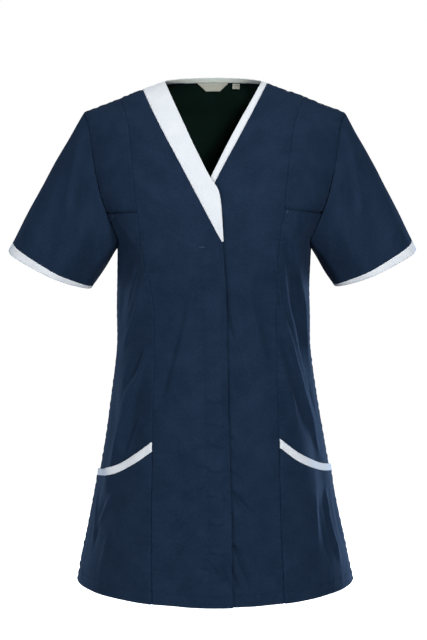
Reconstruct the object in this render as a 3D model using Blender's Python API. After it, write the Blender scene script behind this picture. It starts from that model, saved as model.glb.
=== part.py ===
"""Medical tunic, worn and filled out with no wearer: a short-sleeved, hip-length work tunic with a lapped
front, a wide band on one side of its V neck, narrow binding on the other, princess seams, chest and hip
pockets and bound sleeves.

Metres. X runs across the front, towards the wearer's left. Y runs from the chest to the back. Z is up.
The origin is between the two neck points, on the line of the shoulder seams, where the wearer holds it.
Every panel is a wall of cloth on one shared form, which SECTIONS, FULLNESS and FOLDS describe. A place on
the form is a turn round the body in degrees (0 centre front, 90 wearer's left, 180 centre back) and a height.
"""

import math

import bpy
import numpy as np

# Driving sizes
CLOTH = 0.0012
TRIM = 0.0014
SEAM_GAP = 0.0003
HEM_HEIGHT = -0.749
UNDERARM_HEIGHT = -0.243
BINDING_WIDTH = 0.0095
NECK_HALF_WIDTH = 0.0718
LAP_WIDTH = 0.037
LAP_RECESS = 0.0025
LAP_FLAT = 0.012
LAP_RAMP = 0.028
CHEST_POCKET_ROWS = 5
CHEST_POCKET_INSET = 2
POCKET_CLEARANCE = 0.0007
POCKET_GAPE = 0.0026

# How finely each piece is divided
LOWER_ROWS = 17
SIDE_COLUMNS = 12
CENTRE_COLUMNS = 9
BACK_COLUMNS = 30
SHOULDER_COLUMNS = 7
SLEEVE_ROWS = 8

# Rings of the form from hem to neck. Above the underarm they run on under the sleeve heads.
# height, half_width, front_depth, back_depth, front_square, back_square, centre
SECTIONS = (
    (-0.749, 0.2090, 0.151, 0.138, 1.84, 1.95, 0.0023),
    (-0.650, 0.1878, 0.146, 0.131, 1.90, 2.00, 0.0022),
    (-0.550, 0.1684, 0.140, 0.120, 2.05, 2.08, 0.0018),
    (-0.450, 0.1520, 0.132, 0.106, 2.20, 2.15, 0.0004),
    (-0.380, 0.1438, 0.125, 0.097, 2.25, 2.20, 0.0000),
    (-0.320, 0.1436, 0.123, 0.094, 2.30, 2.20, -0.0004),
    (-0.250, 0.1434, 0.130, 0.099, 2.35, 2.25, 0.0012),
    (-0.237, 0.1436, 0.131, 0.101, 2.35, 2.25, 0.0015),
    (-0.215, 0.1545, 0.131, 0.103, 2.35, 2.22, 0.0015),
    (-0.193, 0.1680, 0.129, 0.106, 2.30, 2.20, 0.0015),
    (-0.160, 0.1840, 0.121, 0.107, 2.25, 2.15, 0.0015),
    (-0.111, 0.1950, 0.104, 0.103, 2.10, 2.05, 0.0015),
    (-0.080, 0.1965, 0.090, 0.096, 1.95, 1.90, 0.0015),
    (-0.052, 0.1938, 0.073, 0.086, 1.80, 1.80, 0.0015),
    (-0.0456, 0.1915, 0.069, 0.083, 1.75, 1.75, 0.0015),
    (-0.039, 0.1770, 0.064, 0.079, 1.70, 1.70, 0.0015),
    (-0.0275, 0.1470, 0.056, 0.073, 1.62, 1.65, 0.0012),
    (-0.016, 0.1150, 0.049, 0.068, 1.56, 1.60, 0.0008),
    (-0.004, 0.0824, 0.041, 0.063, 1.52, 1.55, 0.0004),
    (0.000, 0.0712, 0.038, 0.061, 1.50, 1.55, 0.0000),
    (0.012, 0.0640, 0.034, 0.057, 1.50, 1.55, 0.0000),
)

# Where the cut is fuller than the rings: bust darts and shoulder blades.
# turn, height, out, turn_reach, height_reach
FULLNESS = (
    (-36.0, -0.232, 0.0090, 19.0, 0.050),
    (36.0, -0.232, 0.0090, 19.0, 0.050),
    (150.0, -0.150, 0.0050, 22.0, 0.060),
    (210.0, -0.150, 0.0050, 22.0, 0.060),
)

# Ridges (out above 0) and troughs (below 0) that the cloth hangs in, from their top to their bottom.
# top_turn, top_height, bottom_turn, bottom_height, out, half_width in degrees
FOLDS = (
    (-40.0, -0.235, -66.0, -0.400, 0.0052, 5.5),
    (-53.0, -0.235, -78.0, -0.385, -0.0050, 7.0),
    (-55.0, -0.400, -64.0, -0.640, 0.0050, 6.0),
    (-70.0, -0.420, -76.0, -0.640, -0.0045, 7.0),
    (-44.0, -0.330, -50.0, -0.600, -0.0030, 6.5),
    (34.0, -0.225, 68.0, -0.500, 0.0052, 5.5),
    (44.0, -0.230, 78.0, -0.470, -0.0050, 6.0),
    (49.0, -0.215, 69.0, -0.370, 0.0042, 5.0),
    (37.0, -0.320, 50.0, -0.520, 0.0030, 5.0),
    (60.0, -0.480, 70.0, -0.700, -0.0040, 8.0),
    (-6.0, -0.240, -24.0, -0.480, 0.0026, 7.0),
    (20.0, -0.270, 14.0, -0.440, 0.0028, 8.0),
    (15.0, -0.400, 22.0, -0.560, -0.0024, 7.0),
    (16.0, -0.640, 24.0, -0.749, -0.0030, 6.0),
    (-14.0, -0.560, -20.0, -0.749, -0.0024, 7.0),
    (152.0, -0.200, 138.0, -0.470, 0.0050, 6.5),
    (208.0, -0.200, 224.0, -0.480, 0.0054, 6.5),
    (163.0, -0.290, 156.0, -0.640, -0.0040, 7.5),
    (196.0, -0.280, 206.0, -0.620, -0.0042, 7.5),
    (180.0, -0.330, 178.0, -0.700, 0.0034, 9.0),
    (122.0, -0.250, 112.0, -0.520, -0.0046, 7.0),
    (238.0, -0.250, 248.0, -0.540, -0.0046, 7.0),
    (134.0, -0.480, 128.0, -0.749, 0.0050, 8.0),
    (226.0, -0.500, 232.0, -0.749, 0.0050, 8.0),
)
FOLD_FADE = 0.30

# Armhole seam from underarm to shoulder tip, as turns from the front and from the back.
# height, front_turn, back_turn
ARMHOLE = (
    (-0.2430, 90.0, 90.0),
    (-0.2405, 80.5, 80.0),
    (-0.2320, 72.5, 73.5),
    (-0.2130, 67.5, 69.5),
    (-0.1915, 64.5, 67.0),
    (-0.1700, 62.8, 65.5),
    (-0.1480, 62.2, 64.5),
    (-0.1250, 62.8, 64.5),
    (-0.1020, 64.5, 65.5),
    (-0.0800, 67.2, 67.8),
    (-0.0620, 72.0, 72.0),
    (-0.0510, 79.5, 79.5),
    (-0.0456, 90.0, 90.0),
)
UPPER_ROWS = len(ARMHOLE) - 1
MOUTH_ROW = 4

# Seams of the front, seen straight on: height and distance from the centre line.
# height, right_x, left_x
PRINCESS = (
    (-0.749, -0.0893, 0.1030),
    (-0.690, -0.0898, 0.1005),
    (-0.600, -0.0896, 0.0965),
    (-0.500, -0.0876, 0.0945),
    (-0.440, -0.0862, 0.0925),
    (-0.384, -0.0853, 0.0905),
    (-0.332, -0.0859, 0.0898),
    (-0.296, -0.0888, 0.0893),
    (-0.252, -0.0955, 0.0875),
    (-0.220, -0.1003, 0.0905),
    (-0.188, -0.1065, 0.0985),
    (-0.136, -0.1145, 0.1055),
    (-0.093, -0.1188, 0.1110),
    (-0.060, -0.1238, 0.1170),
    (-0.024, -0.1370, 0.1320),
)
MOUTH_HEIGHTS = {"right": -0.188, "left": -0.183}

# Free edge of the right front, which laps over the left, from hem to the tip of the band.
# height, x
FRONT_EDGE = (
    (-0.749, 0.0280),
    (-0.570, 0.0241),
    (-0.478, 0.0212),
    (-0.326, 0.0183),
    (-0.2265, 0.0127),
)
BAND_TIP_HEIGHT = -0.2265
# The wide band's two edges, from its tip to the shoulder.
BAND_OUTER = ((-0.2265, 0.0117), (-0.1692, -0.0190), (-0.1175, -0.0470), (-0.0646, -0.0760), (0.0, -0.1090))
BAND_INNER = (
    (-0.2265, 0.0137),
    (-0.1790, 0.0106),
    (-0.1566, 0.0072),
    (-0.1370, -0.0050),
    (-0.0966, -0.0259),
    (-0.0508, -0.0478),
    (0.0, -0.0720),
)
BAND_OUTER_SHOULDER = 0.1028
# The narrow binding's two edges on the left front, from the lap to the shoulder.
BINDING_OUTER = ((-0.1870, -0.0222), (-0.1443, 0.0007), (-0.0785, 0.0372), (0.0, 0.0795))
BINDING_INNER = ((-0.1690, -0.0222), (-0.1373, -0.0049), (-0.0715, 0.0302), (0.0, 0.0712))
BINDING_OUTER_SHOULDER = 0.0795

# Hip pocket mouths: both edges of the binding, from the princess seam (0) round to the side seam (1).
# along, right_upper, right_lower, left_upper, left_lower
POCKET_MOUTH = (
    (0.0, -0.5145, -0.5285, -0.5105, -0.5235),
    (0.2, -0.5371, -0.5508, -0.5330, -0.5458),
    (0.4, -0.5552, -0.5672, -0.5486, -0.5606),
    (0.6, -0.5670, -0.5777, -0.5590, -0.5697),
    (0.8, -0.5738, -0.5838, -0.5660, -0.5760),
    (1.0, -0.5795, -0.5893, -0.5722, -0.5820),
)
POCKET_ROWS = 3

# Sleeve hems: an oval round its centre, tipped so that its outer end is higher and its front a little lower.
# side, centre_x, centre_height, half_width, half_depth, slope in degrees, front_drop
SLEEVE_HEMS = (
    ("right", -0.2430, -0.2765, 0.0672, 0.050, 24.5, 0.0050),
    ("left", 0.2405, -0.2735, 0.0665, 0.050, 24.5, 0.0050),
)
# Folds down a sleeve, each at a place round it in degrees (0 underarm, 90 front, 180 shoulder, 270 back).
# place, out, half_width in degrees
SLEEVE_FOLDS = ((38.0, -0.0040, 20.0), (82.0, 0.0030, 17.0), (118.0, -0.0034, 18.0), (150.0, 0.0028, 15.0),
                (222.0, -0.0034, 20.0), (268.0, 0.0036, 20.0), (318.0, -0.0040, 20.0))
SLEEVE_BULGE = 0.0024

# Labels inside the back neck.
# name, centre_x, half_width at the top, half_width at the bottom, top below the binding, drop
LABELS = (
    ("neck_label", -0.0010, 0.0236, 0.0106, 0.0004, 0.0115),
    ("size_label", 0.0345, 0.0052, 0.0052, 0.0004, 0.0072),
)
LABEL_CLOTH = 0.0010
LABEL_GAP = 0.0009
BACK_NECK_RISE = 0.0068
BACK_BINDING_DROP = 0.0070
SHOULDER_BINDING_DROP = 0.0028

# name, colour, roughness
COLOURS = (("navy_cloth", (0.010, 0.019, 0.050), 0.78), ("white_trim", (0.80, 0.82, 0.86), 0.70),
           ("label_cloth", (0.62, 0.64, 0.60), 0.75))


def clear_scene():
    for old in list(bpy.data.objects):
        bpy.data.objects.remove(old, do_unlink=True)


def smooth_curve(places, values):
    """A curve through the values that never overshoots between two of them."""
    places, values = np.asarray(places, float), np.asarray(values, float)
    steps = np.diff(places)
    slopes = np.diff(values) / steps
    tangents = np.empty(len(values))
    tangents[0], tangents[-1] = slopes[0], slopes[-1]
    before, after = slopes[:-1], slopes[1:]
    same_way = before * after > 0
    total = np.where(same_way, before + after, 1.0)
    tangents[1:-1] = np.where(same_way, 2 * before * after / total, 0.0)

    def value(place):
        place = np.clip(place, places[0], places[-1])
        i = np.clip(np.searchsorted(places, place, side="right") - 1, 0, len(steps) - 1)
        t = (place - places[i]) / steps[i]
        start = (2 * t**3 - 3 * t**2 + 1) * values[i] + (t**3 - 2 * t**2 + t) * steps[i] * tangents[i]
        end = (3 * t**2 - 2 * t**3) * values[i + 1] + (t**3 - t**2) * steps[i] * tangents[i + 1]
        return start + end

    return value


def table_curves(table):
    """One curve for each column of a table after its first, which holds the places."""
    columns = list(zip(*table))
    return [smooth_curve(columns[0], column) for column in columns[1:]]


half_width, front_depth, back_depth, front_square, back_square, centre = table_curves(SECTIONS)
princess_right, princess_left = table_curves(PRINCESS)
front_edge, = table_curves(FRONT_EDGE)
band_outer, = table_curves(BAND_OUTER)
band_inner, = table_curves(BAND_INNER)
binding_outer, = table_curves(BINDING_OUTER)
binding_inner, = table_curves(BINDING_INNER)
mouth_curves = table_curves(POCKET_MOUTH)


def smooth_step(t):
    t = np.clip(t, 0.0, 1.0)
    return t * t * (3 - 2 * t)


def unit(vectors):
    return vectors / np.maximum(np.linalg.norm(vectors, axis=-1, keepdims=True), 1e-12)


def ring_point(turn, height):
    """A point on the plain rings, each a superellipse whose front and back differ."""
    angle = np.radians(turn)
    across, along = np.sin(angle), np.cos(angle)
    in_front = along > 0
    power = 2 / np.where(in_front, front_square(height), back_square(height))
    depth = np.where(in_front, front_depth(height), back_depth(height))
    x = centre(height) + half_width(height) * np.sign(across) * np.abs(across) ** power
    y = -depth * np.sign(along) * np.abs(along) ** power
    return np.stack([x, y, height + 0 * x], axis=-1)


def normal_of(surface, turn, height):
    """The outward normal of a surface of turn and height, by small steps along both."""
    turn_step, height_step = 0.6, 0.0008
    round_it = surface(turn + turn_step, height) - surface(turn - turn_step, height)
    up_it = surface(turn, height + height_step) - surface(turn, height - height_step)
    return unit(np.cross(round_it, up_it))


def turn_between(turn, other):
    return (turn - other + 180) % 360 - 180


def relief(turn, height):
    """How far the folds and the fuller cut carry the cloth out from the plain rings."""
    out = np.zeros(np.broadcast(turn, height).shape)
    for at_turn, at_height, most, turn_reach, height_reach in FULLNESS:
        aside, above = turn_between(turn, at_turn) / turn_reach, (height - at_height) / height_reach
        out = out + most * np.exp(-(aside**2) - above**2)
    for top_turn, top_height, bottom_turn, bottom_height, most, reach in FOLDS:
        down = (top_height - height) / (top_height - bottom_height)
        shown = smooth_step(down / FOLD_FADE)
        if bottom_height > HEM_HEIGHT:
            shown = shown * smooth_step((1 - down) / FOLD_FADE)
        line = top_turn + (bottom_turn - top_turn) * np.clip(down, 0, 1)
        out = out + most * shown * np.exp(-((turn_between(turn, line) / reach) ** 2))
    return out


def form_point(turn, height):
    plain = ring_point(turn, height)
    return plain + relief(turn, height)[..., None] * normal_of(ring_point, turn, height)


def turn_at(x, height, behind=False):
    """The turn at which the form has this x, on its front or its back."""
    square = back_square(height) if behind else front_square(height)
    share = np.clip((x - centre(height)) / half_width(height), -1, 1)
    turn = np.degrees(np.arcsin(np.abs(share) ** (square / 2))) * np.sign(share)
    return 180 - turn if behind else turn


def shoulder_height(x):
    """The height of the shoulder line at this distance from the centre."""
    heights = np.linspace(SECTIONS[14][0], SECTIONS[-2][0], 400)
    widths = half_width(heights) + centre(heights) * np.sign(x)
    return float(np.interp(-abs(x), -widths, heights))


class Edge:
    """A seam or edge of a panel: a turn and a height for each row, with the x that it has on the form."""

    def __init__(self, turns, heights):
        self.turns, self.heights = np.asarray(turns, float), np.asarray(heights, float)
        self.x = ring_point(self.turns, self.heights)[:, 0]

    def part(self, first, last):
        return Edge(self.turns[first:last], self.heights[first:last])


LOWER_HEIGHTS = np.linspace(HEM_HEIGHT, UNDERARM_HEIGHT, LOWER_ROWS + 1)


def over_shoulder(start_height, shoulder_x, rows):
    """Heights from a start up to the shoulder line, closer together as the cloth rounds over it."""
    top = shoulder_height(shoulder_x)
    return start_height + (top - start_height) * np.sin(np.linspace(0, math.pi / 2, rows + 1))


def front_view_edge(x_at, corner_row, corner_height, shoulder_x):
    """An edge drawn in the front view, from hem through a corner in the upper rows to the shoulder line."""
    below = np.linspace(UNDERARM_HEIGHT, corner_height, corner_row + 1)
    above = over_shoulder(corner_height, shoulder_x, UPPER_ROWS - corner_row)
    heights = np.concatenate([LOWER_HEIGHTS, below[1:], above[1:]])
    turns = turn_at(x_at(heights), heights)
    turns[-1] = math.copysign(90.0, shoulder_x)
    return Edge(turns, heights)


def side_edge(side):
    """Side seam, then armhole, of a front: side is -1 for the wearer's right and 1 for the left."""
    heights = np.concatenate([LOWER_HEIGHTS, [row[0] for row in ARMHOLE[1:]]])
    turns = np.concatenate([np.full(LOWER_ROWS + 1, 90.0), [row[1] for row in ARMHOLE[1:]]])
    return Edge(side * turns, heights)


def panel_places(one, other, columns, first_row=0):
    """Turns and heights between two edges: by turn low down, by x above the underarm."""
    rows = len(one.turns)
    share = np.linspace(0, 1, columns + 1)[None, :]
    heights = one.heights[:, None] * (1 - share) + other.heights[:, None] * share
    by_turn = one.turns[:, None] * (1 - share) + other.turns[:, None] * share
    by_x = turn_at(one.x[:, None] * (1 - share) + other.x[:, None] * share, heights)
    row = np.arange(first_row, first_row + rows)[:, None]
    weight = smooth_step((row - LOWER_ROWS) / MOUTH_ROW)
    turns = by_turn * (1 - weight) + by_x * weight
    turns[:, 0], turns[:, -1] = one.turns, other.turns
    if abs(one.turns[-1]) == 90 and abs(other.turns[-1]) == 90:
        turns[-1] = one.turns[-1]
    return turns, heights


def cloth_walls(turns, heights, lift=0.0, thickness=CLOTH):
    """Outer and inner points of a wall that lies on the form, lifted off it."""
    faces = form_point(turns, heights)
    normals = normal_of(form_point, turns, heights)
    outer = faces + np.asarray(lift)[..., None] * normals
    return outer, outer - thickness * normals, normals


def draw_in(points, sides):
    """Moves the named sides of a grid inwards by half a seam gap: first and last rows, left and right columns."""
    half = SEAM_GAP / 2
    moved = points.copy()
    if "bottom" in sides:
        moved[0] += half * unit(points[1] - points[0])
    if "top" in sides:
        moved[-1] += half * unit(points[-2] - points[-1])
    if "first" in sides:
        moved[:, 0] += half * unit(points[:, 1] - points[:, 0])
    if "last" in sides:
        moved[:, -1] += half * unit(points[:, -2] - points[:, -1])
    return moved


def add_wall(name, outer, inner, colour, ring=False):
    """One closed solid between two grids of points. With ring, the last column joins the first.

    Every cell is split along the same diagonal, so that walls on one form nest without touching."""
    rows, columns = outer.shape[:2]
    points = np.concatenate([outer.reshape(-1, 3), inner.reshape(-1, 3)])
    inside = rows * columns
    faces = []
    spans = columns if ring else columns - 1
    for r in range(rows - 1):
        for c in range(spans):
            d = (c + 1) % columns
            a, b, e, f = r * columns + c, r * columns + d, (r + 1) * columns + d, (r + 1) * columns + c
            faces += [(a, b, e), (a, e, f)]
            faces += [(inside + e, inside + b, inside + a), (inside + f, inside + e, inside + a)]
    for r, up in ((0, False), (rows - 1, True)):
        for c in range(spans):
            a, b = r * columns + c, r * columns + (c + 1) % columns
            rim = (a, inside + a, inside + b, b)
            faces.append(rim[::-1] if up else rim)
    if not ring:
        for c, right in ((0, False), (columns - 1, True)):
            for r in range(rows - 1):
                a, b = r * columns + c, (r + 1) * columns + c
                rim = (a, b, inside + b, inside + a)
                faces.append(rim[::-1] if right else rim)
    mesh = bpy.data.meshes.new(name)
    mesh.from_pydata([tuple(point) for point in points], [], faces)
    if signed_volume(points, faces) < 0:
        mesh.flip_normals()
    mesh.shade_smooth()
    mesh.set_sharp_from_angle(angle=math.radians(40))
    mesh.materials.append(MATERIALS[colour])
    piece = bpy.data.objects.new(name, mesh)
    COLLECTION.objects.link(piece)
    piece.parent = HOLDER
    return piece


def signed_volume(points, faces):
    total = 0.0
    for face in faces:
        for k in range(1, len(face) - 1):
            total += np.dot(points[face[0]], np.cross(points[face[k]], points[face[k + 1]]))
    return total / 6


def make_materials():
    made = {}
    for name, colour, roughness in COLOURS:
        material = bpy.data.materials.new(name)
        material.use_nodes = True
        shader = material.node_tree.nodes["Principled BSDF"]
        shader.inputs["Base Color"].default_value = (*colour, 1.0)
        shader.inputs["Roughness"].default_value = roughness
        shader.inputs["Metallic"].default_value = 0.0
        made[name] = material
    return made


def lap_edge(height):
    """The free edge that covers the left front: the band's inner edge, and the front edge below its tip."""
    return np.where(height > BAND_TIP_HEIGHT, band_inner(height), front_edge(height))


def lap_recess(turns, heights):
    """The left front sinks under the right one where they lap."""
    past_edge = ring_point(turns, heights)[..., 0] - lap_edge(heights)
    return -LAP_RECESS * (1 - smooth_step((past_edge - LAP_FLAT) / LAP_RAMP))


def armhole_loop(side):
    """Seam points once round an armhole, from the underarm up the front and down the back."""
    heights = np.array([row[0] for row in ARMHOLE])
    front = side * np.array([row[1] for row in ARMHOLE])
    back = side * (180 - np.array([row[2] for row in ARMHOLE]))
    turns = np.concatenate([front, back[-2:0:-1]])
    heights = np.concatenate([heights, heights[-2:0:-1]])
    return form_point(turns, heights), normal_of(form_point, turns, heights)


def sleeve_hem(side_name, places):
    """The oval at the sleeve's end, at places in degrees round it: 0 underarm, 90 front, 180 outside."""
    row = next(row for row in SLEEVE_HEMS if row[0] == side_name)
    _, centre_x, centre_height, wide, deep, slope, drop = row
    side = math.copysign(1, centre_x)
    out = -np.cos(np.radians(places))
    forward = np.sin(np.radians(places))
    tip = math.radians(slope)
    x = centre_x + side * wide * math.cos(tip) * out
    z = centre_height + wide * math.sin(tip) * out - drop * forward
    return np.stack([x, -deep * forward, z], axis=-1)


def sleeve_surface(side_name):
    """Outer points and normals of a sleeve and its binding, row by row from armhole to hem."""
    side = -1 if side_name == "right" else 1
    loop, torso_normals = armhole_loop(side)
    count = len(loop)
    lengths = np.linalg.norm(np.roll(loop, -1, axis=0) - loop, axis=1)
    walked = np.concatenate([[0], np.cumsum(lengths)[:-1]])
    top = UPPER_ROWS
    places = np.interp(walked, [0, walked[top], lengths.sum()], [0, 180, 360])
    hem = sleeve_hem(side_name, places)
    length = np.linalg.norm(hem - loop, axis=1)
    trim_share = BINDING_WIDTH / length.mean()
    shares = np.concatenate([np.linspace(0, 1 - trim_share, SLEEVE_ROWS + 1), [1 - trim_share / 2, 1]])
    shares = shares[:, None, None]
    straight = loop[None] * (1 - shares) + hem[None] * shares
    middle = straight.mean(axis=1, keepdims=True)
    outward = unit(straight - middle)
    lift = SLEEVE_BULGE * np.sin(math.pi * shares[..., 0]) * np.ones(count)
    for place, most, reach in SLEEVE_FOLDS:
        near = np.exp(-((turn_between(places, place) / reach) ** 2))
        grows = smooth_step(shares[..., 0] / 0.35) * (1 - 0.45 * smooth_step((shares[..., 0] - 0.6) / 0.4))
        lift = lift + most * near[None] * grows
    points = straight + lift[..., None] * outward
    return points, torso_normals


def grid_normals(points, outside_of):
    """Normals of a tube of points, turned away from the tube's middle."""
    round_it = np.roll(points, -1, axis=1) - np.roll(points, 1, axis=1)
    along = np.gradient(points, axis=0)
    normals = unit(np.cross(round_it, along))
    facing = np.sum(normals * (points - outside_of), axis=-1).mean()
    return normals if facing > 0 else -normals


def build_sleeve(side_name):
    """A set-in sleeve and its bound hem. Returns the way the torso's thickness runs along the armhole."""
    points, torso_normals = sleeve_surface(side_name)
    normals = grid_normals(points, points.mean(axis=1, keepdims=True))
    into_sleeve = unit(points[1] - points[0])
    ring = np.roll(points[0], -1, axis=0) - np.roll(points[0], 1, axis=0)
    into_torso = unit(np.cross(torso_normals, ring))
    into_torso *= np.sign(np.sum(into_torso * (np.array([0.0, 0.0, -0.15]) - points[0])))
    agree = np.sum(normals[0] * torso_normals, axis=-1, keepdims=True)
    mitred = (normals[0] + torso_normals) / np.maximum(1 + agree, 0.5)
    blunt = agree > 0.8
    outer = points.copy()
    outer[0] += SEAM_GAP * unit(into_sleeve - into_torso)
    inner = outer - CLOTH * normals
    inner[0] = outer[0] - CLOTH * np.where(blunt, mitred, normals[0])
    body_rows = SLEEVE_ROWS + 1
    add_wall(f"sleeve_{side_name}", outer[:body_rows], inner[:body_rows], "navy_cloth", ring=True)
    trim = points[SLEEVE_ROWS:] + 0.0001 * normals[SLEEVE_ROWS:]
    trim[0] += SEAM_GAP * unit(trim[1] - trim[0])
    trim_inner = trim - TRIM * normals[SLEEVE_ROWS:]
    add_wall(f"sleeve_binding_{side_name}", trim, trim_inner, "white_trim", ring=True)
    return np.where(blunt, mitred, torso_normals)


def trim_armhole(outer, inner, rims, column, first_row):
    """Runs a panel's thickness at its armhole edge as the sleeve needs it. first_row counts from the hem."""
    for row in range(len(outer)):
        station = row + first_row - LOWER_ROWS
        if station >= 0:
            inner[row, column] = outer[row, column] - CLOTH * rims[station]


def build_centre_front_right(edges):
    """The lapping front: princess seam to free edge and band."""
    turns, heights = panel_places(edges["princess_right"], edges["lap"], CENTRE_COLUMNS)
    outer, inner, _ = cloth_walls(turns, heights)
    add_wall("front_right", draw_in(outer, ("first", "top")), draw_in(inner, ("first", "top")), "navy_cloth")


def build_centre_front_left(edges):
    """The underlapping front: hidden edge and binding to princess seam."""
    turns, heights = panel_places(edges["underlap"], edges["princess_left"], CENTRE_COLUMNS + 2)
    outer, inner, _ = cloth_walls(turns, heights, lap_recess(turns, heights))
    sides = ("last", "top")
    add_wall("front_left", draw_in(outer, sides), draw_in(inner, sides), "navy_cloth")


def build_side_front(side_name, edges, rims):
    """Side front from hem to chest pocket mouth. Returns its outer and inner points and normals."""
    mouth = LOWER_ROWS + MOUTH_ROW
    side, princess = edges[f"side_{side_name}"], edges[f"princess_{side_name}"]
    turns, heights = panel_places(side.part(0, mouth + 1), princess.part(0, mouth + 1), SIDE_COLUMNS)
    outer, inner, normals = cloth_walls(turns, heights)
    trim_armhole(outer, inner, rims, 0, 0)
    outer, inner = draw_in(outer, ("last",)), draw_in(inner, ("last",))
    low = slice(0, LOWER_ROWS)
    outer[low], inner[low] = draw_in(outer[low], ("first",)), draw_in(inner[low], ("first",))
    add_wall(f"side_front_{side_name}", outer, inner, "navy_cloth")
    return outer, inner, normals


def between_columns(grid, places):
    """Each row of a grid of points, taken at these places along its columns."""
    columns = np.arange(grid.shape[1])
    rows = [np.stack([np.interp(places, columns, row[:, k]) for k in range(3)], axis=-1) for row in grid]
    return np.array(rows)


def build_chest_piece(side_name, edges, rims, side_front):
    """Shoulder to pocket mouth at the face of the cloth, then a pocket back that hangs inside the side front."""
    mouth = LOWER_ROWS + MOUTH_ROW
    side, princess = edges[f"side_{side_name}"], edges[f"princess_{side_name}"]
    turns, heights = panel_places(side.part(mouth, None), princess.part(mouth, None), SIDE_COLUMNS, mouth)
    sink = CLOTH + POCKET_CLEARANCE
    lift = -sink * (1 - smooth_step((heights - heights[0] - 0.0005) / 0.016))
    outer, inner, _ = cloth_walls(turns, heights, lift)
    trim_armhole(outer, inner, rims, 0, mouth)
    _, front_inner, front_normals = side_front
    bag_rows = slice(mouth - CHEST_POCKET_ROWS, mouth)
    turned_in = np.linspace(0, 1, CHEST_POCKET_INSET + 1)[:-1] * 0.3 + CHEST_POCKET_INSET - 0.3
    places = np.concatenate([turned_in, np.arange(CHEST_POCKET_INSET, SIDE_COLUMNS + 1)])
    normals = between_columns(front_normals[bag_rows], places)
    bag_outer = between_columns(front_inner[bag_rows], places) - POCKET_CLEARANCE * normals
    outer = np.concatenate([bag_outer, outer])
    inner = np.concatenate([bag_outer - CLOTH * normals, inner])
    sides = ("last", "top")
    add_wall(f"chest_piece_{side_name}", draw_in(outer, sides), draw_in(inner, sides), "navy_cloth")


def at_heights(grid, of_points, wanted):
    """Rows of a grid of vectors, taken up each column at the wanted heights of its points."""
    rows = np.empty((len(wanted), grid.shape[1], 3))
    for column in range(grid.shape[1]):
        up = of_points[:, column, 2]
        for k in range(3):
            rows[:, column, k] = np.interp(wanted[:, column], up, grid[:, column, k])
    return rows


def build_hip_pocket(side_name, side_front):
    """A pocket front on the side front, from its bound mouth to the hem, seam to seam."""
    panel, _, panel_normals = side_front
    upper, lower = mouth_curves[:2] if side_name == "right" else mouth_curves[2:]
    share = np.linspace(0, 1, SIDE_COLUMNS + 1)
    mouth, trim_edge = upper(1 - share), lower(1 - share)
    common = int(np.sum(LOWER_HEIGHTS < trim_edge.min() - 0.008))
    up = np.linspace(0, 1, POCKET_ROWS + 1)[1:, None]
    base = panel[common - 1, :, 2]
    wanted = np.concatenate([panel[:common, :, 2], base + (trim_edge - base) * up,
                             [(mouth + trim_edge) / 2, mouth]])
    normals = unit(at_heights(panel_normals, panel, wanted))
    near_mouth = smooth_step(1 - (mouth - wanted) / 0.05)
    gape = POCKET_GAPE * near_mouth * np.sin(math.pi * (0.12 + 0.76 * share))
    lift = (CLOTH + SEAM_GAP + gape)[..., None]
    outer = at_heights(panel, panel, wanted) + lift * normals
    inner = outer - CLOTH * normals
    rows = common + POCKET_ROWS
    add_wall(f"pocket_{side_name}", outer[:rows], inner[:rows], "navy_cloth")
    trim = outer[rows - 1:] + 0.0001 * normals[rows - 1:]
    trim_inner = trim - TRIM * normals[rows - 1:]
    trim[0] += SEAM_GAP * unit(trim[1] - trim[0])
    trim_inner[0] += SEAM_GAP * unit(trim_inner[1] - trim_inner[0])
    add_wall(f"pocket_binding_{side_name}", trim, trim_inner, "white_trim")


def neckline_height(turn):
    """The upper edge of the back neck binding, which stands a little above the neck points."""
    return BACK_NECK_RISE * np.abs(np.cos(np.radians(turn)))


def binding_drop(turn):
    behind = np.abs(np.cos(np.radians(turn)))
    return SHOULDER_BINDING_DROP + (BACK_BINDING_DROP - SHOULDER_BINDING_DROP) * behind**0.7


def back_top_edge():
    """The back's top edge as x and height: shoulder seam, neckline under the binding, shoulder seam."""
    neck_turns = np.linspace(90, 270, BACK_COLUMNS - 2 * SHOULDER_COLUMNS + 1)
    neck_heights = neckline_height(neck_turns) - binding_drop(neck_turns)
    tip_height = ARMHOLE[-1][0]
    seam_heights = np.linspace(tip_height, neck_heights[0], SHOULDER_COLUMNS + 1)[:-1]
    seam_turns = np.full(SHOULDER_COLUMNS, 90.0)
    turns = np.concatenate([seam_turns, neck_turns, 360 - seam_turns])
    heights = np.concatenate([seam_heights, neck_heights, seam_heights[::-1]])
    return turns, heights


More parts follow.
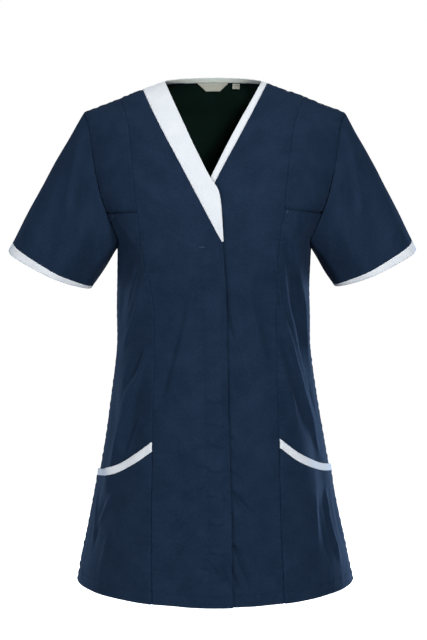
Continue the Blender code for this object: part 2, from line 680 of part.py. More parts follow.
def build_back(armhole_rims):
    """The one-piece back, from side seam to side seam."""
    share = np.linspace(0, 1, BACK_COLUMNS + 1)[None, :]
    lower_turns = np.repeat(90 + 180 * share, LOWER_ROWS + 1, axis=0)
    lower_heights = np.repeat(LOWER_HEIGHTS[:, None], BACK_COLUMNS + 1, axis=1)
    top_turns, top_heights = back_top_edge()
    top_x, base_x = ring_point(top_turns, top_heights)[:, 0], ring_point(lower_turns[-1], lower_heights[-1])[:, 0]
    stations = np.arange(1, UPPER_ROWS)
    up = np.sin(stations / UPPER_ROWS * math.pi / 2)[:, None]
    arm_heights = np.array([ARMHOLE[k][0] for k in stations])[:, None]
    arm_turns = np.array([180 - ARMHOLE[k][2] for k in stations])
    arm_x = ring_point(arm_turns, arm_heights[:, 0])[:, 0:1]
    other_arm_x = ring_point(360 - arm_turns, arm_heights[:, 0])[:, 0:1]
    heights = (1 - up) * UNDERARM_HEIGHT + up * top_heights[None, :]
    side_heights = (1 - up) * UNDERARM_HEIGHT + up * ARMHOLE[-1][0]
    near_side = np.abs(2 * share - 1) ** 1.5
    heights = heights + near_side * (arm_heights - side_heights)
    x = (1 - up) * base_x[None, :] + up * top_x[None, :]
    x = x + (1 - share) ** 2 * (arm_x - x[:, :1]) + share**2 * (other_arm_x - x[:, -1:])
    by_x = turn_at(x, heights, behind=True)
    by_x[:, 0], by_x[:, -1] = arm_turns, 360 - arm_turns
    heights[:, 0], heights[:, -1] = arm_heights[:, 0], arm_heights[:, 0]
    turns = np.concatenate([lower_turns, by_x, top_turns[None, :]])
    heights = np.concatenate([lower_heights, heights, top_heights[None, :]])
    outer, inner, _ = cloth_walls(turns, heights)
    for side_name, column in (("left", 0), ("right", BACK_COLUMNS)):
        loop = armhole_rims[side_name]
        behind = np.concatenate([loop[:1], loop[:UPPER_ROWS - 1:-1]])
        trim_armhole(outer, inner, behind, column, 0)
    outer, inner = draw_in(outer, ("top",)), draw_in(inner, ("top",))
    low = slice(0, LOWER_ROWS)
    outer[low], inner[low] = draw_in(outer[low], ("first", "last")), draw_in(inner[low], ("first", "last"))
    add_wall("back", outer, inner, "navy_cloth")


def strip_on_form(name, one, other, columns, lift, sides, colour="white_trim", thickness=TRIM):
    """A narrow strip between two edges in the front view."""
    share = np.linspace(0, 1, columns + 1)[None, :]
    heights = one.heights[:, None] * (1 - share) + other.heights[:, None] * share
    x = one.x[:, None] * (1 - share) + other.x[:, None] * share
    turns = turn_at(x, heights)
    turns[-1] = one.turns[-1]
    shift = lift(turns, heights) if callable(lift) else np.full(turns.shape, lift)
    outer, inner, _ = cloth_walls(turns, heights, shift, thickness)
    add_wall(name, draw_in(outer, sides), draw_in(inner, sides), colour)


def strip_edge(x_at, start_height, shoulder_x, rows):
    heights = over_shoulder(start_height, shoulder_x, rows)
    turns = turn_at(x_at(heights), heights)
    turns[-1] = math.copysign(90.0, shoulder_x)
    return Edge(turns, heights)


def build_neck_trims():
    """The wide band on the right front, and the narrow binding on the left front and the back neck."""
    band_rows = UPPER_ROWS - 1
    outer_edge = strip_edge(band_outer, BAND_TIP_HEIGHT, -BAND_OUTER_SHOULDER, band_rows)
    inner_edge = strip_edge(band_inner, BAND_TIP_HEIGHT, -NECK_HALF_WIDTH, band_rows)
    strip_on_form("neck_band", outer_edge, inner_edge, 4, 0.0, ("first", "top", "bottom"))
    rows = UPPER_ROWS - MOUTH_ROW
    outer_edge = strip_edge(binding_outer, BINDING_OUTER[0][0], BINDING_OUTER_SHOULDER, rows)
    inner_edge = strip_edge(binding_inner, BINDING_INNER[0][0], NECK_HALF_WIDTH, rows)
    strip_on_form("neck_binding_left", inner_edge, outer_edge, 2, lap_recess, ("last", "top"))
    turns = np.linspace(90, 270, BACK_COLUMNS - 2 * SHOULDER_COLUMNS + 1)[:, None]
    down = np.array([0.0, 0.5, 1.0])[None, :]
    heights = neckline_height(turns) - binding_drop(turns) * down
    turns = np.repeat(turns, 3, axis=1)
    outer, inner, _ = cloth_walls(turns, heights, np.full(turns.shape, 0.0), TRIM)
    sides = ("bottom", "top", "last")
    add_wall("neck_binding_back", draw_in(outer, sides), draw_in(inner, sides), "white_trim")


def build_labels():
    """Bare labels sewn in under the back neck binding, inside the back."""
    for name, middle_x, top_half, bottom_half, below, drop in LABELS:
        share = np.linspace(0, 1, 4)[:, None]
        across = np.linspace(-1, 1, 7)[None, :]
        x = middle_x + across * (top_half * (1 - share) + bottom_half * share)
        top_turn = turn_at(middle_x, 0.0, behind=True)
        top = neckline_height(top_turn) - binding_drop(top_turn) - below
        heights = top - drop * share + 0 * x
        turns = turn_at(x, heights, behind=True)
        outer, inner, _ = cloth_walls(turns, heights, np.full(x.shape, -CLOTH - LABEL_GAP), LABEL_CLOTH)
        add_wall(name, outer, inner, "label_cloth")


PRINCESS_AT = {"right": princess_right, "left": princess_left}


def front_edges():
    """Every edge of the front panels, one place for each row of the torso."""
    right_shoulder, left_shoulder = PRINCESS[-1][1], PRINCESS[-1][2]

    def lap(height):
        return np.where(height < BAND_TIP_HEIGHT, front_edge(height), band_outer(height))

    def underlap(height):
        corner = BINDING_OUTER[0][0]
        return np.where(height < corner, front_edge(height) - LAP_WIDTH, binding_outer(height))

    return {
        "princess_right": front_view_edge(princess_right, MOUTH_ROW, MOUTH_HEIGHTS["right"], right_shoulder),
        "princess_left": front_view_edge(princess_left, MOUTH_ROW, MOUTH_HEIGHTS["left"], left_shoulder),
        "lap": front_view_edge(lap, 1, BAND_TIP_HEIGHT, -BAND_OUTER_SHOULDER),
        "underlap": front_view_edge(underlap, MOUTH_ROW, BINDING_OUTER[0][0], BINDING_OUTER_SHOULDER),
        "side_right": side_edge(-1),
        "side_left": side_edge(1),
    }


clear_scene()
MATERIALS = make_materials()
COLLECTION = bpy.data.collections.new("medical_tunic")
bpy.context.scene.collection.children.link(COLLECTION)
HOLDER = bpy.data.objects.new("wearer_shoulders", None)
COLLECTION.objects.link(HOLDER)

armhole_rims = {side_name: build_sleeve(side_name) for side_name in ("right", "left")}
panel_edges = front_edges()
build_centre_front_right(panel_edges)
build_centre_front_left(panel_edges)
for side_name in ("right", "left"):
    side_front = build_side_front(side_name, panel_edges, armhole_rims[side_name])
    build_chest_piece(side_name, panel_edges, armhole_rims[side_name], side_front)
    build_hip_pocket(side_name, side_front)
build_back(armhole_rims)
build_neck_trims()
build_labels()
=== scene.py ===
import math

import bpy
import numpy as np
from mathutils import Euler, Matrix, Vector


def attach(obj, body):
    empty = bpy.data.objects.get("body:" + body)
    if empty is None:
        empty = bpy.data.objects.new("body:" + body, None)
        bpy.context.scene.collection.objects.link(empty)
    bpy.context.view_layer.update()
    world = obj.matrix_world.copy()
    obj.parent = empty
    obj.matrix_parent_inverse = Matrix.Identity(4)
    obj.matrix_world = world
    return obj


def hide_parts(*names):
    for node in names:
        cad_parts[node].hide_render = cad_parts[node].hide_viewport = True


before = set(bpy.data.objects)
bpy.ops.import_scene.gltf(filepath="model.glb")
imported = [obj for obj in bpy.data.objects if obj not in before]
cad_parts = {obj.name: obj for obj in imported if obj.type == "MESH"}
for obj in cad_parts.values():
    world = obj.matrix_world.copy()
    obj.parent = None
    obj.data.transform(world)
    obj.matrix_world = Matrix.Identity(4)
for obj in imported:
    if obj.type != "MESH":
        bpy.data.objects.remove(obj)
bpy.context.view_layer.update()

# The back: one piece of navy polyester and cotton twill, sewn to the fronts and to the sleeves, with its hem
# turned up 16 mm and stitched. The shape that every panel hangs in is set here: plain rings round the body,
# with soft folds and finer creases on them.
CLOTH = 0.0012
SEAM_GAP = 0.0003
HEM_HEIGHT, UNDERARM_HEIGHT = -0.749, -0.243
HEM_TURNING = 0.016
LOWER_ROWS, UPPER_ROWS, MOUTH_ROW = 17, 12, 4
BACK_COLUMNS, SHOULDER_COLUMNS = 30, 7
BACK_NECK_RISE, BACK_BINDING_DROP, SHOULDER_BINDING_DROP = 0.0068, 0.0070, 0.0028
# height, half_width, front_depth, back_depth, front_square, back_square, centre
RINGS = (
    (-0.749, 0.2090, 0.151, 0.138, 1.84, 1.95, 0.0023),
    (-0.650, 0.1878, 0.146, 0.131, 1.90, 2.00, 0.0022),
    (-0.550, 0.1684, 0.140, 0.120, 2.05, 2.08, 0.0018),
    (-0.450, 0.1520, 0.132, 0.106, 2.20, 2.15, 0.0004),
    (-0.380, 0.1438, 0.125, 0.097, 2.25, 2.20, 0.0000),
    (-0.320, 0.1436, 0.123, 0.094, 2.30, 2.20, -0.0004),
    (-0.250, 0.1434, 0.130, 0.099, 2.35, 2.25, 0.0012),
    (-0.237, 0.1436, 0.131, 0.101, 2.35, 2.25, 0.0015),
    (-0.215, 0.1545, 0.131, 0.103, 2.35, 2.22, 0.0015),
    (-0.193, 0.1680, 0.129, 0.106, 2.30, 2.20, 0.0015),
    (-0.160, 0.1840, 0.121, 0.107, 2.25, 2.15, 0.0015),
    (-0.111, 0.1950, 0.104, 0.103, 2.10, 2.05, 0.0015),
    (-0.080, 0.1965, 0.090, 0.096, 1.95, 1.90, 0.0015),
    (-0.052, 0.1938, 0.073, 0.086, 1.80, 1.80, 0.0015),
    (-0.0456, 0.1915, 0.069, 0.083, 1.75, 1.75, 0.0015),
    (-0.039, 0.1770, 0.064, 0.079, 1.70, 1.70, 0.0015),
    (-0.0275, 0.1470, 0.056, 0.073, 1.62, 1.65, 0.0012),
    (-0.016, 0.1150, 0.049, 0.068, 1.56, 1.60, 0.0008),
    (-0.004, 0.0824, 0.041, 0.063, 1.52, 1.55, 0.0004),
    (0.000, 0.0712, 0.038, 0.061, 1.50, 1.55, 0.0000),
    (0.012, 0.0640, 0.034, 0.057, 1.50, 1.55, 0.0000),
)
SHOULDER_RING = 14
# turn, height, out, turn_reach, height_reach
FULLNESS = (
    (-36.0, -0.232, 0.0090, 19.0, 0.050),
    (36.0, -0.232, 0.0090, 19.0, 0.050),
    (150.0, -0.150, 0.0050, 22.0, 0.060),
    (210.0, -0.150, 0.0050, 22.0, 0.060),
)
# top turn and height, bottom turn and height, out and half width: in degrees, mm, mm and degrees
FOLDS = (
    (-40, -235, -66, -400, 5.2, 5.5), (-53, -235, -78, -385, -5, 7),
    (-55, -400, -64, -640, 5, 6), (-70, -420, -76, -640, -4.5, 7),
    (-44, -330, -50, -600, -3, 6.5), (34, -225, 68, -500, 5.2, 5.5),
    (44, -230, 78, -470, -5, 6), (49, -215, 69, -370, 4.2, 5),
    (37, -320, 50, -520, 3, 5), (60, -480, 70, -700, -4, 8),
    (-6, -240, -24, -480, 2.6, 7), (20, -270, 14, -440, 2.8, 8),
    (15, -400, 22, -560, -2.4, 7), (16, -640, 24, -749, -3, 6),
    (-14, -560, -20, -749, -2.4, 7), (152, -200, 138, -470, 5, 6.5),
    (208, -200, 224, -480, 5.4, 6.5), (163, -290, 156, -640, -4, 7.5),
    (196, -280, 206, -620, -4.2, 7.5), (180, -330, 178, -700, 3.4, 9),
    (122, -250, 112, -520, -4.6, 7), (238, -250, 248, -540, -4.6, 7),
    (134, -480, 128, -749, 5, 8), (226, -500, 232, -749, 5, 8),
)
FOLD_FADE = 0.30
# Creases as the cloth shows them: turn and height of three places along each, then out and half width. Turns
# are in degrees, all else in mm.
CREASES = (
    (5.2, -298, 6.6, -338, 10.5, -376, -3.6, 4.5), (-34.5, -240, -45.5, -320, -64, -391, 4.6, 4.5),
    (-40.5, -236, -53.5, -315, -72, -385, -4.2, 7), (-27, -350, -44, -405, -62, -500, 1.46, 6),
    (-33, -368, -50, -450, -62, -575, 4.5, 7), (-43, -380, -60, -460, -72, -565, -3.7, 9),
    (-38, -469, -46, -505, -50, -548, 1.9, 4.5), (-44, -480, -50, -515, -54, -550, -0.95, 4),
    (-6, -262, -13, -350, -26, -480, 2.98, 9), (-12, -300, -21, -390, -33, -500, -2.29, 8),
    (-52.5, -590, -60.5, -620, -70.5, -680, 2.14, 5), (-79, -600, -71, -640, -69, -695, 2.34, 5),
    (-62, -600, -66, -650, -68, -700, -1.36, 5), (-40, -590, -48, -635, -52, -690, 1.17, 6),
    (-55, -657, -57, -685, -57.5, -725, 1.36, 5), (28.5, -222, 39.5, -328, 57, -452, 5.2, 4.5),
    (37, -322, 55.5, -440, 71, -560, 5.6, 5), (43.5, -262, 64, -395, 76.5, -520, -4.8, 8),
    (44.5, -226, 62.5, -320, 79, -439, 2.92, 5), (35, -210, 44, -285, 54, -364, -3.4, 7),
    (29, -300, 40, -410, 49, -510, 1.3, 6), (33, -330, 47, -430, 57, -530, -1.14, 6),
    (70.5, -590, 66, -650, 69, -725, 4.55, 5), (60, -590, 57, -650, 60, -720, -1.75, 7),
    (57.5, -590, 54, -635, 51, -690, 1.56, 6), (80, -590, 77, -650, 80, -710, -1.56, 6),
    (15, -262, 20, -330, 33, -440, 2.75, 9), (9, -300, 15, -360, 27, -450, -2.07, 8),
    (-24, -196, -15, -220, -7, -229, -1, 4.5), (-20, -214, -13, -230, -6.5, -233, 1.19, 4),
    (-5, -330, -6, -285, -5.2, -236, -1.1, 4), (-2.5, -300, -3.2, -265, -3, -240, 1.1, 4),
    (4.5, -213, 10, -207, 16.5, -203, 1.1, 4), (6, -240, 12, -228, 19, -212, 1.53, 5),
    (9, -166, 14.5, -170, 30, -178, 1.19, 5), (5.5, -290, 12, -300, 20, -325, 1.84, 7),
    (-4.5, -447, 0, -451, 5, -449, 2.5, 3.4), (-4, -478, 0.5, -484, 5, -486, 2.5, 3.4),
    (-3.5, -507, 0.5, -513, 5.5, -517, 2.9, 3.6), (-4, -545, 0.5, -550, 5.5, -549, 2.8, 3.6),
    (-4, -579, 0.5, -587, 6, -589, 3, 3.6), (-3.5, -622, 1, -626, 6, -625, 2.8, 3.6),
    (-4, -662, 1, -668, 6, -671, 2.8, 3.6), (-4, -702, 1, -706, 6, -700, 1.38, 4),
    (-6, -470, -13, -480, -20, -500, 2.5, 6), (-5, -510, -11, -520, -17, -540, 3, 6),
    (-5.5, -560, -11, -573, -17, -596, 3.5, 6), (-8, -600, -15.5, -622, -22, -650, 3.7, 6),
    (-5, -640, -11, -652, -19, -690, 3, 6), (-5, -700, -11, -714, -19, -738, 3.21, 5),
    (6.5, -470, 12, -482, 20, -510, 2.07, 6), (6, -500, 10, -512, 16, -530, -2.07, 6),
    (6, -545, 12, -556, 20, -585, 2.75, 6), (7.2, -580, 12.5, -598, 20, -624, -4.8, 5),
    (7, -610, 14, -625, 23, -655, 2.52, 6), (7.2, -662, 12, -677, 19.5, -746, -5.2, 4),
    (10, -645, 16.5, -674, 22, -730, 2.2, 5), (7, -682, 9.3, -706, 12, -730, -4, 3.4),
    (22, -520, 27, -540, 30, -570, 1.84, 5), (-3.2, -676, 3, -695, 7, -712, 4.2, 4),
    (-8, -700, -5.5, -693, -2.5, -702, -2.6, 3.4), (-9, -583, -6.5, -579, -3.5, -576, -2.2, 3),
    (-2.5, -592, 1, -588, 4, -590, -2, 3), (-10, -557, -6.5, -546, -3, -553, -2, 3),
    (-60, -187, -50, -178, -40, -170, 1.46, 5), (-52, -165, -44, -160, -36, -150, 0.98, 6),
    (-56, -196, -48, -215, -44, -240, 1.62, 5), (-66, -215, -60, -228, -57, -250, -1.62, 5),
    (60, -187, 50, -178, 40, -172, 1.46, 5), (54, -197, 50, -215, 48, -240, 1.62, 5),
    (66, -210, 60, -226, 57, -250, -1.62, 5), (100, -262, 116, -300, 138, -338, 3.12, 6),
    (258, -266, 244, -306, 223, -350, 2.99, 6), (104, -300, 122, -332, 146, -352, -2.34, 8),
    (255, -312, 238, -338, 214, -356, -2.34, 8), (150, -350, 167, -362, 186, -358, 1.95, 6),
    (206, -378, 192, -386, 174, -380, 1.69, 6), (112, -402, 121, -466, 127, -560, 3.38, 6),
    (247, -396, 239, -470, 235, -570, 3.25, 6), (140, -420, 146, -500, 149, -600, 1.82, 7),
    (218, -430, 213, -520, 211, -610, 1.95, 7), (172, -470, 170, -560, 173, -680, 1.56, 8),
    (118, -610, 122, -670, 120, -735, 2.6, 6), (244, -600, 240, -660, 243, -730, 2.47, 6),
    (128, -120, 134, -165, 137, -220, 1.69, 7), (232, -126, 227, -172, 224, -228, 1.69, 7),
    (118, -190, 127, -222, 140, -246, 1.43, 6), (242, -186, 233, -220, 219, -250, 1.43, 6),
    (4.2, -285, 4.5, -345, 4.7, -395, -3, 5), (1.6, -182, 2.8, -232, 4.2, -290, -3.2, 6),
    (4.8, -400, 5.2, -450, 5, -500, -2.8, 5), (5.2, -520, 5.6, -580, 5.4, -640, -2.6, 5),
    (5.6, -640, 6, -690, 5.8, -735, -2.6, 5),
)
# Soft unevenness of the whole cloth: waves of these lengths in mm, each so many mm high.
WAVES = ((118, 0.46), (83, 0.38), (61, 0.30), (47, 0.23), (38, 0.18), (31, 0.14), (26, 0.12), (19, 0.09),
         (13, 0.06))
WAVE_SEED = 11
# height, front_turn, back_turn
ARMHOLE = (
    (-0.2430, 90.0, 90.0),
    (-0.2405, 80.5, 80.0),
    (-0.2320, 72.5, 73.5),
    (-0.2130, 67.5, 69.5),
    (-0.1915, 64.5, 67.0),
    (-0.1700, 62.8, 65.5),
    (-0.1480, 62.2, 64.5),
    (-0.1250, 62.8, 64.5),
    (-0.1020, 64.5, 65.5),
    (-0.0800, 67.2, 67.8),
    (-0.0620, 72.0, 72.0),
    (-0.0510, 79.5, 79.5),
    (-0.0456, 90.0, 90.0),
)


def smooth_curve(places, values):
    """A curve through the values that never overshoots between two of them."""
    places, values = np.asarray(places, float), np.asarray(values, float)
    steps = np.diff(places)
    slopes = np.diff(values) / steps
    tangents = np.empty(len(values))
    tangents[0], tangents[-1] = slopes[0], slopes[-1]
    before, after = slopes[:-1], slopes[1:]
    same_way = before * after > 0
    total = np.where(same_way, before + after, 1.0)
    tangents[1:-1] = np.where(same_way, 2 * before * after / total, 0.0)

    def value(place):
        place = np.clip(place, places[0], places[-1])
        i = np.clip(np.searchsorted(places, place, side="right") - 1, 0, len(steps) - 1)
        t = (place - places[i]) / steps[i]
        start = (2 * t**3 - 3 * t**2 + 1) * values[i] + (t**3 - 2 * t**2 + t) * steps[i] * tangents[i]
        end = (3 * t**2 - 2 * t**3) * values[i + 1] + (t**3 - t**2) * steps[i] * tangents[i + 1]
        return start + end

    return value


def table_curves(table):
    """One curve for each column of a table after its first, which holds the places."""
    columns = list(zip(*table))
    return [smooth_curve(columns[0], column) for column in columns[1:]]


half_width, front_depth, back_depth, front_square, back_square, centre = table_curves(RINGS)
stations = np.arange(len(ARMHOLE))
armhole_height, armhole_front, armhole_back = [smooth_curve(stations, column) for column in zip(*ARMHOLE)]


def smooth_step(t):
    t = np.clip(t, 0.0, 1.0)
    return t * t * (3 - 2 * t)


def bell(distance, reach):
    return np.exp(-((distance / reach) ** 2))


def between(one, other, share):
    return one * (1 - share) + other * share


def unit(vectors):
    return vectors / np.maximum(np.linalg.norm(vectors, axis=-1, keepdims=True), 1e-12)


def ring_point(turn, height):
    """A point on the plain rings. turn is in degrees: 0 at the centre front, 90 at the left side."""
    angle = np.radians(turn)
    across, along = np.sin(angle), np.cos(angle)
    in_front = along > 0
    power = 2 / np.where(in_front, front_square(height), back_square(height))
    depth = np.where(in_front, front_depth(height), back_depth(height))
    x = centre(height) + half_width(height) * np.sign(across) * np.abs(across) ** power
    y = -depth * np.sign(along) * np.abs(along) ** power
    return np.stack([x, y, height + 0 * x], axis=-1)


def normal_of(surface, turn, height):
    turn_step, height_step = 0.6, 0.0008
    round_it = surface(turn + turn_step, height) - surface(turn - turn_step, height)
    up_it = surface(turn, height + height_step) - surface(turn, height - height_step)
    return unit(np.cross(round_it, up_it))


def turn_between(turn, other):
    return (turn - other + 180) % 360 - 180


def relief(turn, height):
    """How far the fullness and the folds carry the cloth out from the plain rings."""
    out = np.zeros(np.broadcast(turn, height).shape)
    for at_turn, at_height, most, turn_reach, height_reach in FULLNESS:
        near = bell(turn_between(turn, at_turn), turn_reach) * bell(height - at_height, height_reach)
        out = out + most * near
    for top_turn, top, bottom_turn, bottom, most, reach in FOLDS:
        down = (top - height * 1000) / (top - bottom)
        shown = smooth_step(down / FOLD_FADE)
        if bottom / 1000 > HEM_HEIGHT:
            shown = shown * smooth_step((1 - down) / FOLD_FADE)
        line = top_turn + (bottom_turn - top_turn) * np.clip(down, 0, 1)
        out = out + most / 1000 * shown * bell(turn_between(turn, line), reach)
    return out


def form_point(turn, height):
    return ring_point(turn, height) + relief(turn, height)[..., None] * normal_of(ring_point, turn, height)


def turn_at(x, height, behind=False):
    square = back_square(height) if behind else front_square(height)
    share = np.clip((x - centre(height)) / half_width(height), -1, 1)
    turn = np.degrees(np.arcsin(np.abs(share) ** (square / 2))) * np.sign(share)
    return 180 - turn if behind else turn


def steps_along(points, axis):
    """Distances along a grid of points, from its first row or column."""
    gone = np.cumsum(np.linalg.norm(np.diff(points, axis=axis), axis=-1), axis=axis)
    return np.pad(gone, ((1, 0), (0, 0)) if axis == 0 else ((0, 0), (1, 0)))


girth_turns = np.arange(-180.0, 361.0, 2.0)
girth_heights = np.linspace(HEM_HEIGHT, RINGS[-1][0], 60)
girth_table = steps_along(ring_point(girth_turns[None, :], girth_heights[:, None]), 1)
girth_table -= girth_table[:, girth_turns == 0]


def girth(turn, height):
    """How far round the body a place is from the centre front, in metres."""
    turn, height = np.broadcast_arrays(turn, height)
    column = np.clip((turn - girth_turns[0]) / 2, 0, len(girth_turns) - 1.001)
    row = np.clip((height - HEM_HEIGHT) / (girth_heights[1] - HEM_HEIGHT), 0, len(girth_heights) - 1.001)
    c, r = column.astype(int), row.astype(int)
    low = between(girth_table[r, c], girth_table[r, c + 1], column - c)
    high = between(girth_table[r + 1, c], girth_table[r + 1, c + 1], column - c)
    return between(low, high, row - r)


# A crease ends this many half widths from its line, and its two ends fade over this share of its length.
CREASE_SPREAD, CREASE_FADE = 2.5, 0.3
CREST_FALL, CREST_ROUND = 1.35, 0.3


def crease_height(across, up, path, most, reach):
    """How far one crease carries the cloth out, with its ends fading away."""
    first, middle, last = path
    bend = 2 * middle - (first + last) / 2
    t = np.linspace(0, 1, 10)[:, None]
    line = (1 - t) ** 2 * first + 2 * t * (1 - t) * bend + t**2 * last
    low, high = line.min(axis=0) - CREASE_SPREAD * reach, line.max(axis=0) + CREASE_SPREAD * reach
    near = (across > low[0]) & (across < high[0]) & (up > low[1]) & (up < high[1])
    out = np.zeros(across.shape)
    if not near.any():
        return out
    spots = np.stack([across[near], up[near]], axis=-1)
    best, along = np.full(len(spots), 1e9), np.zeros(len(spots))
    for k in range(len(line) - 1):
        step = line[k + 1] - line[k]
        share = np.clip((spots - line[k]) @ step / (step @ step), 0, 1)
        miss = np.linalg.norm(spots - line[k] - share[:, None] * step, axis=1)
        closer = miss < best
        best = np.where(closer, miss, best)
        along = np.where(closer, (k + share) / (len(line) - 1), along)
    fade = smooth_step(along / CREASE_FADE) * smooth_step((1 - along) / CREASE_FADE)
    crest = np.exp(CREST_FALL * (CREST_ROUND - np.hypot(best / reach, CREST_ROUND)))
    out[near] = most * fade * crest * np.clip(1 - (best / reach / CREASE_SPREAD) ** 2, 0, 1) ** 2
    return out


wave_random = np.random.default_rng(WAVE_SEED)
wave_ways = unit(wave_random.normal(size=(len(WAVES), 2, 3)) * (1.0, 1.0, 0.55))
wave_starts = wave_random.uniform(0, 2 * math.pi, (len(WAVES), 2))


def unevenness(points):
    """Soft waves all over the cloth."""
    out = np.zeros(points.shape[:-1])
    for (length, most), ways, starts in zip(WAVES, wave_ways, wave_starts):
        for way, start in zip(ways, starts):
            out += most / 2000 * np.sin(points @ way * 2000 * math.pi / length + start)
    return out


def fine_relief(turn, height, points):
    """Creases and soft unevenness of the cloth at a place."""
    out = unevenness(points)
    across, up = girth(turn, height), height + 0 * turn
    for *line, most, reach in CREASES:
        path = np.array([(girth(t, mm / 1000), mm / 1000) for t, mm in zip(line[::2], line[1::2])])
        out = out + crease_height(across, up, path, most / 1000, reach / 1000)
    return out


def distance_from(points, edge):
    along = steps_along(points, 0 if edge in ("bottom", "top") else 1)
    if edge == "top":
        return along[-1:] - along
    if edge == "last":
        return along[:, -1:] - along
    return along


def at_edge(points, edge):
    """How far each point is from an edge, and its place along it."""
    return distance_from(points, edge), points[..., 2 if edge in ("first", "last") else 0]


def draw_back(grid, edge):
    """Draws an edge of a grid back by half of the seam's gap."""
    lines = grid.swapaxes(0, 1) if edge in ("first", "last") else grid
    one, two = (0, 1) if edge in ("bottom", "first") else (-1, -2)
    lines[one] += SEAM_GAP / 2 * unit(lines[two] - lines[one])


SEAM_SINK, SEAM_ROLL = 0.00082, 0.0017
PUCKER, PUCKER_REACH, PUCKER_START = 0.00058, 0.0105, 0.002
STITCH_SINK, STITCH_ROLL, STITCH_PUCKER_REACH = 0.00032, 0.0016, 0.006
HEM_EXTRA, HEM_STEP = 0.8 * CLOTH, 0.0015


def pucker_wave(along):
    """The uneven rise and fall of cloth that a line of stitches draws up, about 11 mm apart."""
    return (np.sin(along * 560) + 0.7 * np.sin(along * 381 + 1.3) + 0.5 * np.sin(along * 823 + 2.1)) / 1.5


def cloth_at(turns, heights, lift=0.0, seams=None, stitched=(), thickness=CLOTH, hem=False):
    """Outer and inner points and normals of cloth at these places. seams maps an edge to how much of a seam
    each row or column of it is. stitched lists (edge, distance, share) of lines that draw the cloth down."""
    base = form_point(turns, heights)
    normals = normal_of(form_point, turns, heights)
    out = lift + fine_relief(turns, heights, base)
    for edge, weight in (seams or {}).items():
        gone, along = at_edge(base, edge)
        bite = np.exp(-gone / PUCKER_REACH) * smooth_step(gone / PUCKER_START)
        sink = SEAM_SINK * (1 - smooth_step(gone / SEAM_ROLL))
        out = out + weight * (PUCKER * pucker_wave(along) * bite - sink)
    for edge, distance, weight in stitched:
        gone, along = at_edge(base, edge)
        gone = gone - distance
        bite = np.exp(-np.abs(gone) / STITCH_PUCKER_REACH)
        puckers = 0.8 * PUCKER * pucker_wave(along * 1.1 + 0.4) * bite
        out = out + weight * (puckers - STITCH_SINK * bell(gone, STITCH_ROLL))
    outer = base + out[..., None] * normals
    for edge in seams or {}:
        draw_back(outer, edge)
    depth = np.full(turns.shape, thickness)
    if hem:
        above_hem = distance_from(base, "bottom") - HEM_TURNING
        depth = depth + HEM_EXTRA * (1 - smooth_step(above_hem / HEM_STEP))
    return outer, outer - depth[..., None] * normals, normals


def put_in_scene(name, data):
    thing = bpy.data.objects.new(name, data)
    bpy.context.scene.collection.objects.link(thing)
    return thing


EDGE_BULGE, WIDEST_BULGED = 0.42, 0.0016


def cloth_mesh(name, outer, inner, materials, ring=False):
    """A closed wall of cloth between two grids of points, with rounded edges and a map in metres along its
    grain. The second material is the inside's. With ring, the last column joins the first."""
    rows, columns = outer.shape[:2]
    spans = columns if ring else columns - 1
    closed = np.concatenate([outer, outer[:, :1]], axis=1) if ring else outer
    across = steps_along(closed, 1)
    across = across - across[:, across.shape[1] // 2][:, None]
    grain = np.stack([across, steps_along(closed, 0)], axis=-1)
    r, c = [k.ravel() for k in np.meshgrid(np.arange(rows - 1), np.arange(spans), indexing="ij")]
    corners = ((r, c), (r, c + 1), (r + 1, c + 1), (r + 1, c))
    cells = np.stack([k * columns + m % columns for k, m in corners], axis=-1)
    cell_grain = np.stack([grain[k, m] for k, m in corners], axis=1)
    count = rows * columns
    if ring:
        c = np.arange(columns)
        loops = [(np.zeros(columns, int), c, 1), (np.full(columns, rows - 1), c[::-1], -1)]
    else:
        row, column = np.arange(rows), np.arange(columns)
        r = np.concatenate([0 * column, row[1:], 0 * column[1:] + rows - 1, row[-2:0:-1]])
        c = np.concatenate([column, 0 * row[1:] + columns - 1, column[-2::-1], 0 * row[-2:0:-1]])
        loops = [(r, c, 0)]
    points = [outer.reshape(-1, 3), inner.reshape(-1, 3)]
    faces, maps = [cells, cells[:, ::-1] + count], [cell_grain, cell_grain[:, ::-1]]
    start = 2 * count
    for r, c, way in loops:
        inward = (r + way, c) if way else (np.clip(r, 1, rows - 2), np.clip(c, 1, columns - 2))
        edge, under = outer[r, c], inner[r, c]
        thick = np.linalg.norm(edge - under, axis=-1, keepdims=True)
        through = unit(edge - under)
        away = edge - outer[inward]
        away = unit(away - np.sum(away * through, axis=-1, keepdims=True) * through)
        points.append((edge + under) / 2 + EDGE_BULGE * np.minimum(thick, WIDEST_BULGED) * away)
        here, mid = r * columns + c, start + np.arange(len(r))
        after, mid_after = np.roll(here, -1), np.roll(mid, -1)
        faces += [np.stack([after, here, mid, mid_after], axis=-1)]
        faces += [np.stack([mid_after, mid, here + count, after + count], axis=-1)]
        spot, next_spot = grain[r, c], np.roll(grain[r, c], -1, axis=0)
        maps += [np.stack([next_spot, spot, spot, next_spot], axis=1)] * 2
        start += len(r)
    points, faces, maps = np.concatenate(points), np.concatenate(faces), np.concatenate(maps)
    a, b, d, e = [points[faces[:, k]] for k in range(4)]
    volume = np.sum(a * np.cross(b, d)) + np.sum(a * np.cross(d, e))
    if volume < 0:
        faces, maps = faces[:, ::-1], maps[:, ::-1]
    mesh = bpy.data.meshes.new(name)
    mesh.from_pydata(points, [], faces.tolist())
    mesh.uv_layers.new(name="grain").data.foreach_set("uv", maps.reshape(-1))
    inside = np.zeros(len(faces), np.int32)
    inside[len(cells):2 * len(cells)] = len(materials) - 1
    for material in materials:
        mesh.materials.append(material)
    mesh.polygons.foreach_set("material_index", inside)
    mesh.shade_smooth()
    return put_in_scene(name, mesh)


